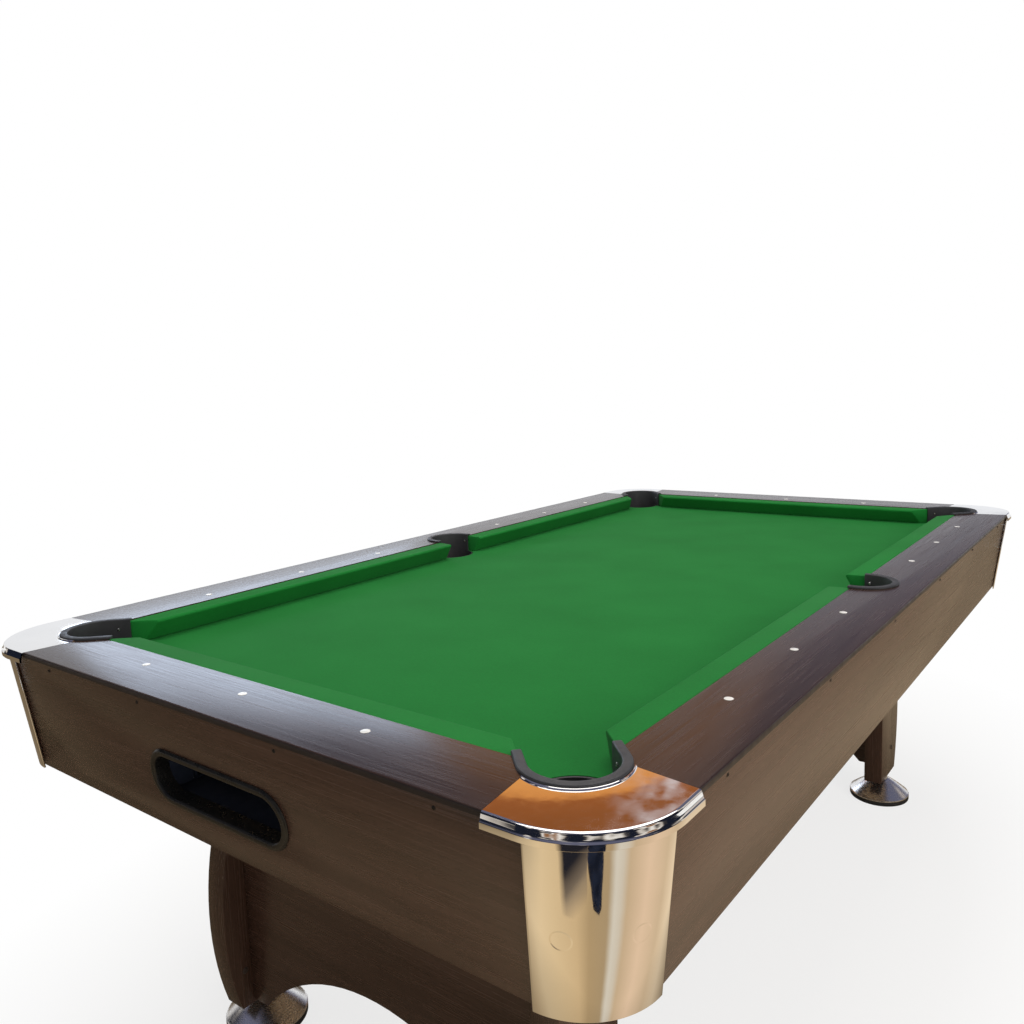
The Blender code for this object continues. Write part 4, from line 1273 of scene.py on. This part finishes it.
def glowing(card):
    """Gives a card a glow of its own, and hides it from everything but mirror and gloss."""
    material = bpy.data.materials.new(card.name)
    material.use_nodes = True
    tree = material.node_tree
    tree.nodes.remove(tree.nodes["Principled BSDF"])
    glow = add(tree, "ShaderNodeEmission", {"Strength": 1.0})
    fill(tree, tree.nodes["Material Output"], {"Surface": glow.outputs[0]})
    card.data.materials.append(material)
    for rays in ("camera", "diffuse", "transmission", "volume_scatter", "shadow"):
        setattr(card, "visible_" + rays, False)
    return tree, glow


# Painted reflection: a warm glowing sheet just over the floor, streaked round the front corner.
warm_card = plane("warm_card", WARM_SIZE, (0, 0, WARM_LIFT))
settle(warm_card)
warm_tree, warm_glow = glowing(warm_card)
warm_place = own_place(warm_tree)
round_corner = measured(warm_tree, "SUBTRACT", warm_place, (*WARM_MIDDLE, 0))
sector = add(warm_tree, "ShaderNodeTexGradient", {"Vector": round_corner},
             gradient_type="RADIAL").outputs[1]
warm_parts = add(warm_tree, "ShaderNodeSeparateXYZ", {0: warm_place}).outputs
# Painted shadow under the table, and painted shade to the left and further back, in the glow.
painted_table_shadow = spread(warm_tree, oval_span(warm_tree), WARM_UNDER, 1.0, *WARM_OPEN)
in_light = spread(warm_tree, warm_parts["X"], WARM_LEFT_SHARE, 1.0, *WARM_LEFT)
in_front = spread(warm_tree, warm_parts["Y"], 1.0, WARM_FAR_SHARE, *WARM_FAR)
lit_open = reckon(warm_tree, "MULTIPLY", painted_table_shadow, in_light)
fill(warm_tree, warm_glow, {
    "Color": shades(warm_tree, sector, WARM_TONES),
    "Strength": reckon(warm_tree, "MULTIPLY", lit_open, in_front),
})


def standing_card(name, ends, outline):
    """A card standing on the floor between two points, cut to an outline of shares and heights."""
    left, right = Vector((*ends[0], 0)), Vector((*ends[1], 0))
    corners = [left.lerp(right, share) + Vector((0, 0, height)) for share, height in outline]
    card = filled_outline(name, corners)
    close_up()
    return card


# Painted reflection: a dark navy glowing card that the chrome at the front corner shows as a dark
# streak.
navy_flag = standing_card("navy_flag", NAVY_ENDS, NAVY_OUTLINE)
navy_tree, navy_glow = glowing(navy_flag)
fill(navy_tree, navy_glow, {"Color": mottled(
    navy_tree, DARK_NAVY, size=0.10, detail=1.0, depths=(0.8, 1.6), edges=(0.35, 0.65))})

# Painted reflection: a glowing card, grey-brown at its foot and near black at the top, fading out
# low down and at one end.
brown_flag = standing_card("brown_flag", BROWN_ENDS, BROWN_OUTLINE)
brown_tree, brown_glow = glowing(brown_flag)
brown_parts = add(brown_tree, "ShaderNodeSeparateXYZ", {0: own_place(brown_tree)}).outputs
brown_run = (BROWN_ENDS[0][0], BROWN_ENDS[1][0])
brown_along = spread(brown_tree, brown_parts["X"], 0.0, 1.0, *brown_run)
brown_rank = reckon(brown_tree, "MULTIPLY_ADD", brown_along, -BROWN_SLANT, brown_parts["Z"])
fill(brown_tree, brown_glow, {"Color": shades(brown_tree, brown_rank, BROWN_TONES)})
brown_shown = reckon(brown_tree, "MULTIPLY",
                     spread(brown_tree, brown_rank, 0.0, 1.0, *BROWN_FADE),
                     spread(brown_tree, brown_along, 0.0, 1.0, 0.0, BROWN_EDGE))
brown_clear = add(brown_tree, "ShaderNodeBsdfTransparent")
brown_mix = add(brown_tree, "ShaderNodeMixShader", {
    0: brown_shown, 1: brown_clear.outputs[0], 2: brown_glow.outputs[0]})
fill(brown_tree, brown_tree.nodes["Material Output"], {"Surface": brown_mix.outputs[0]})


def hung_card(name, turn, size):
    """A card hung far off, square to the line from the front corner at a bearing and a rise."""
    bearing, rise = (math.radians(angle) for angle in turn)
    line = Vector((math.cos(bearing) * math.cos(rise), math.sin(bearing) * math.cos(rise),
                   math.sin(rise)))
    middle = in_corner(CARD_AIM, CARD_AIM, rail_top) + CARD_AWAY * line
    card = plane(name, size=1, place=middle, turn=line.to_track_quat("Z", "Y").to_euler())
    card.scale = (*size, 1)
    settle(card)
    return card, middle, Vector((math.sin(bearing), -math.cos(bearing), 0))


def blended(tree, share, first, second):
    """One colour that passes into another by a share."""
    sockets = {"Factor": share, "A": first, "B": second}
    return add(tree, "ShaderNodeMix", sockets, data_type="RGBA").outputs["Result"]


# Painted reflection for the corner caps: a glowing card, light orange low down and brown above,
# with a painted highlight at one side.
panel, panel_middle, panel_right = hung_card("brown_card", PANEL_TURN, PANEL_SIZE)
panel_tree, panel_glow = glowing(panel)
panel_local = measured(panel_tree, "SUBTRACT", own_place(panel_tree), panel_middle)
panel_slope = panel_right * PANEL_SLOPE + Vector((0, 0, 1))
panel_rise = measured(panel_tree, "DOT_PRODUCT", panel_local, panel_slope)
panel_rank = spread(panel_tree, panel_rise, 0.0, 1.0, *PANEL_RISE)
panel_along = measured(panel_tree, "DOT_PRODUCT", panel_local, panel_right)
gleam = reckon(panel_tree, "MULTIPLY",
               spread(panel_tree, cloud(panel_tree, size=0.30), 0.0, 1.0, *GLEAM_EDGE),
               spread(panel_tree, panel_along, 0.0, 1.0, *GLEAM_START))
panel_tone = shades(panel_tree, panel_rank, PANEL_TONES)
fill(panel_tree, panel_glow, {
    "Color": blended(panel_tree, gleam, panel_tone, (*PANEL_GLEAM, 1))})

# Painted sheen: a pale card glowing at several times white, which the rails and metal mirror.
pale_card, _, _ = hung_card("pale_card", PALE_TURN, PALE_SIZE)
pale_tree, pale_glow = glowing(pale_card)
fill(pale_tree, pale_glow, {"Strength": PALE_LEVEL, "Color": mottled(
    pale_tree, PALE_COLOUR, size=0.9, detail=1.0, depths=(0.85, 1.0), edges=(0.35, 0.65))})

# Light
# Even white light from all round, a broad soft panel over the table, and a second from the
# right that makes the long side the brighter one. In place of the white, mirrors and gloss see
# a painted reflection of a tinted surround.
ROOM_LEVEL = 0.50
ROOM_COLOUR = (1.0, 0.985, 0.965, 1)
CEILING_TURN = (-1.0, -0.15)
CEILING_TILT = (-0.386, -0.058)
# Painted reflection: pale low down and dark blue-grey higher up, with a blotched dark end.
PAINTED_CEILING = (
    (0.100, (0.87, 0.89, 0.93)),
    (0.130, (0.15, 0.155, 0.24)),
    (0.60, (0.12, 0.125, 0.19)),
)
DARK_END = (0.5, -0.87, 0.0)
DARK_START = (-0.60, -0.35)
DARK_TONES = (
    (0.49, DARK_NAVY),
    (0.53, (0.05, 0.045, 0.045)),
    (0.57, (0.55, 0.50, 0.45)),
    (0.62, (0.90, 0.88, 0.85)),
    (0.68, (0.28, 0.13, 0.05)),
)
DARK_TOP = (0.50, 0.70)
REFLECTION_NOISE_SCALE = 3.6
world = bpy.data.worlds.new("white_room")
bpy.context.scene.world = world
world.use_nodes = True
room = world.node_tree
lit = room.nodes["Background"]
fill(room, lit, {"Color": ROOM_COLOUR, "Strength": ROOM_LEVEL})
# Painted reflection, seen by mirrors and gloss only: the tinted bands, and towards the front a
# dark end with pale and brown blotches.
look = add(room, "ShaderNodeTexCoord").outputs["Generated"]
look_parts = add(room, "ShaderNodeSeparateXYZ", {0: look}).outputs
tilt = spread(room, look_parts["X"], *CEILING_TILT, *CEILING_TURN)
painted_ceiling = shades(room, reckon(room, "ADD", look_parts["Z"], tilt), PAINTED_CEILING)
reflection_noise = add(room, "ShaderNodeTexNoise", {
    "Vector": look, "Scale": REFLECTION_NOISE_SCALE, "Detail": 1.0}).outputs[0]
facing = measured(room, "DOT_PRODUCT", look, DARK_END)
dark_here = reckon(room, "MULTIPLY",
                   spread(room, facing, 0.0, 1.0, *DARK_START),
                   spread(room, look_parts["Z"], 1.0, 0.0, *DARK_TOP))
painted_reflection = blended(room, dark_here, painted_ceiling, shades(room, reflection_noise, DARK_TONES))
camera_ray = add(room, "ShaderNodeLightPath").outputs["Is Camera Ray"]
backdrop = blended(room, camera_ray, painted_reflection, (1, 1, 1, 1))
plain = add(room, "ShaderNodeBackground", {"Color": backdrop, "Strength": 1.0})
both = add(room, "ShaderNodeMixShader", {
    0: seen_rays(room), 1: lit.outputs[0], 2: plain.outputs[0]})
fill(room, room.nodes["World Output"], {"Surface": both.outputs[0]})


def panel_light(name, place, target, size, power, colour, mirrored):
    """A soft square panel, out of the camera's sight, that bright metal may or may not mirror."""
    bpy.ops.object.select_all(action="DESELECT")
    bpy.ops.object.light_add(type="AREA", location=place)
    lamp = bpy.context.object
    lamp.name = name
    lamp.rotation_euler = (Vector(target) - Vector(place)).to_track_quat("-Z", "Y").to_euler()
    lamp.data.shape = "RECTANGLE"
    lamp.data.size, lamp.data.size_y = size
    lamp.data.energy = power
    lamp.data.color = colour
    lamp.visible_camera = False
    lamp.visible_glossy = mirrored


panel_light("over_panel", place=(0.0, 0.2, 3.6), target=(0, 0, 0.8), size=(2.6, 3.6), power=60,
            colour=(1.0, 0.98, 0.95), mirrored=True)
panel_light("right_panel", place=(3.6, -1.2, 1.7), target=(0.3, 0, 0.6), size=(2.2, 2.4), power=85,
            colour=(1.0, 0.96, 0.91), mirrored=False)

# Camera
# Set where the photograph was taken from, with its lens and its slight tilt.
CAMERA_PLACE = (1.0284, -1.7943, 1.2508)
CAMERA_TURN = (82.884, 2.055, 37.418)
CAMERA_SENSOR = 36
CAMERA_LENS = 30.88
CAMERA_SHIFT = (0.00845, -0.02026)
bpy.ops.object.camera_add(location=CAMERA_PLACE,
                          rotation=[math.radians(angle) for angle in CAMERA_TURN])
camera = bpy.context.object
camera.data.sensor_width = CAMERA_SENSOR
camera.data.lens = CAMERA_LENS
camera.data.shift_x, camera.data.shift_y = CAMERA_SHIFT
bpy.context.scene.camera = camera
bpy.context.scene.view_settings.view_transform = "Standard"
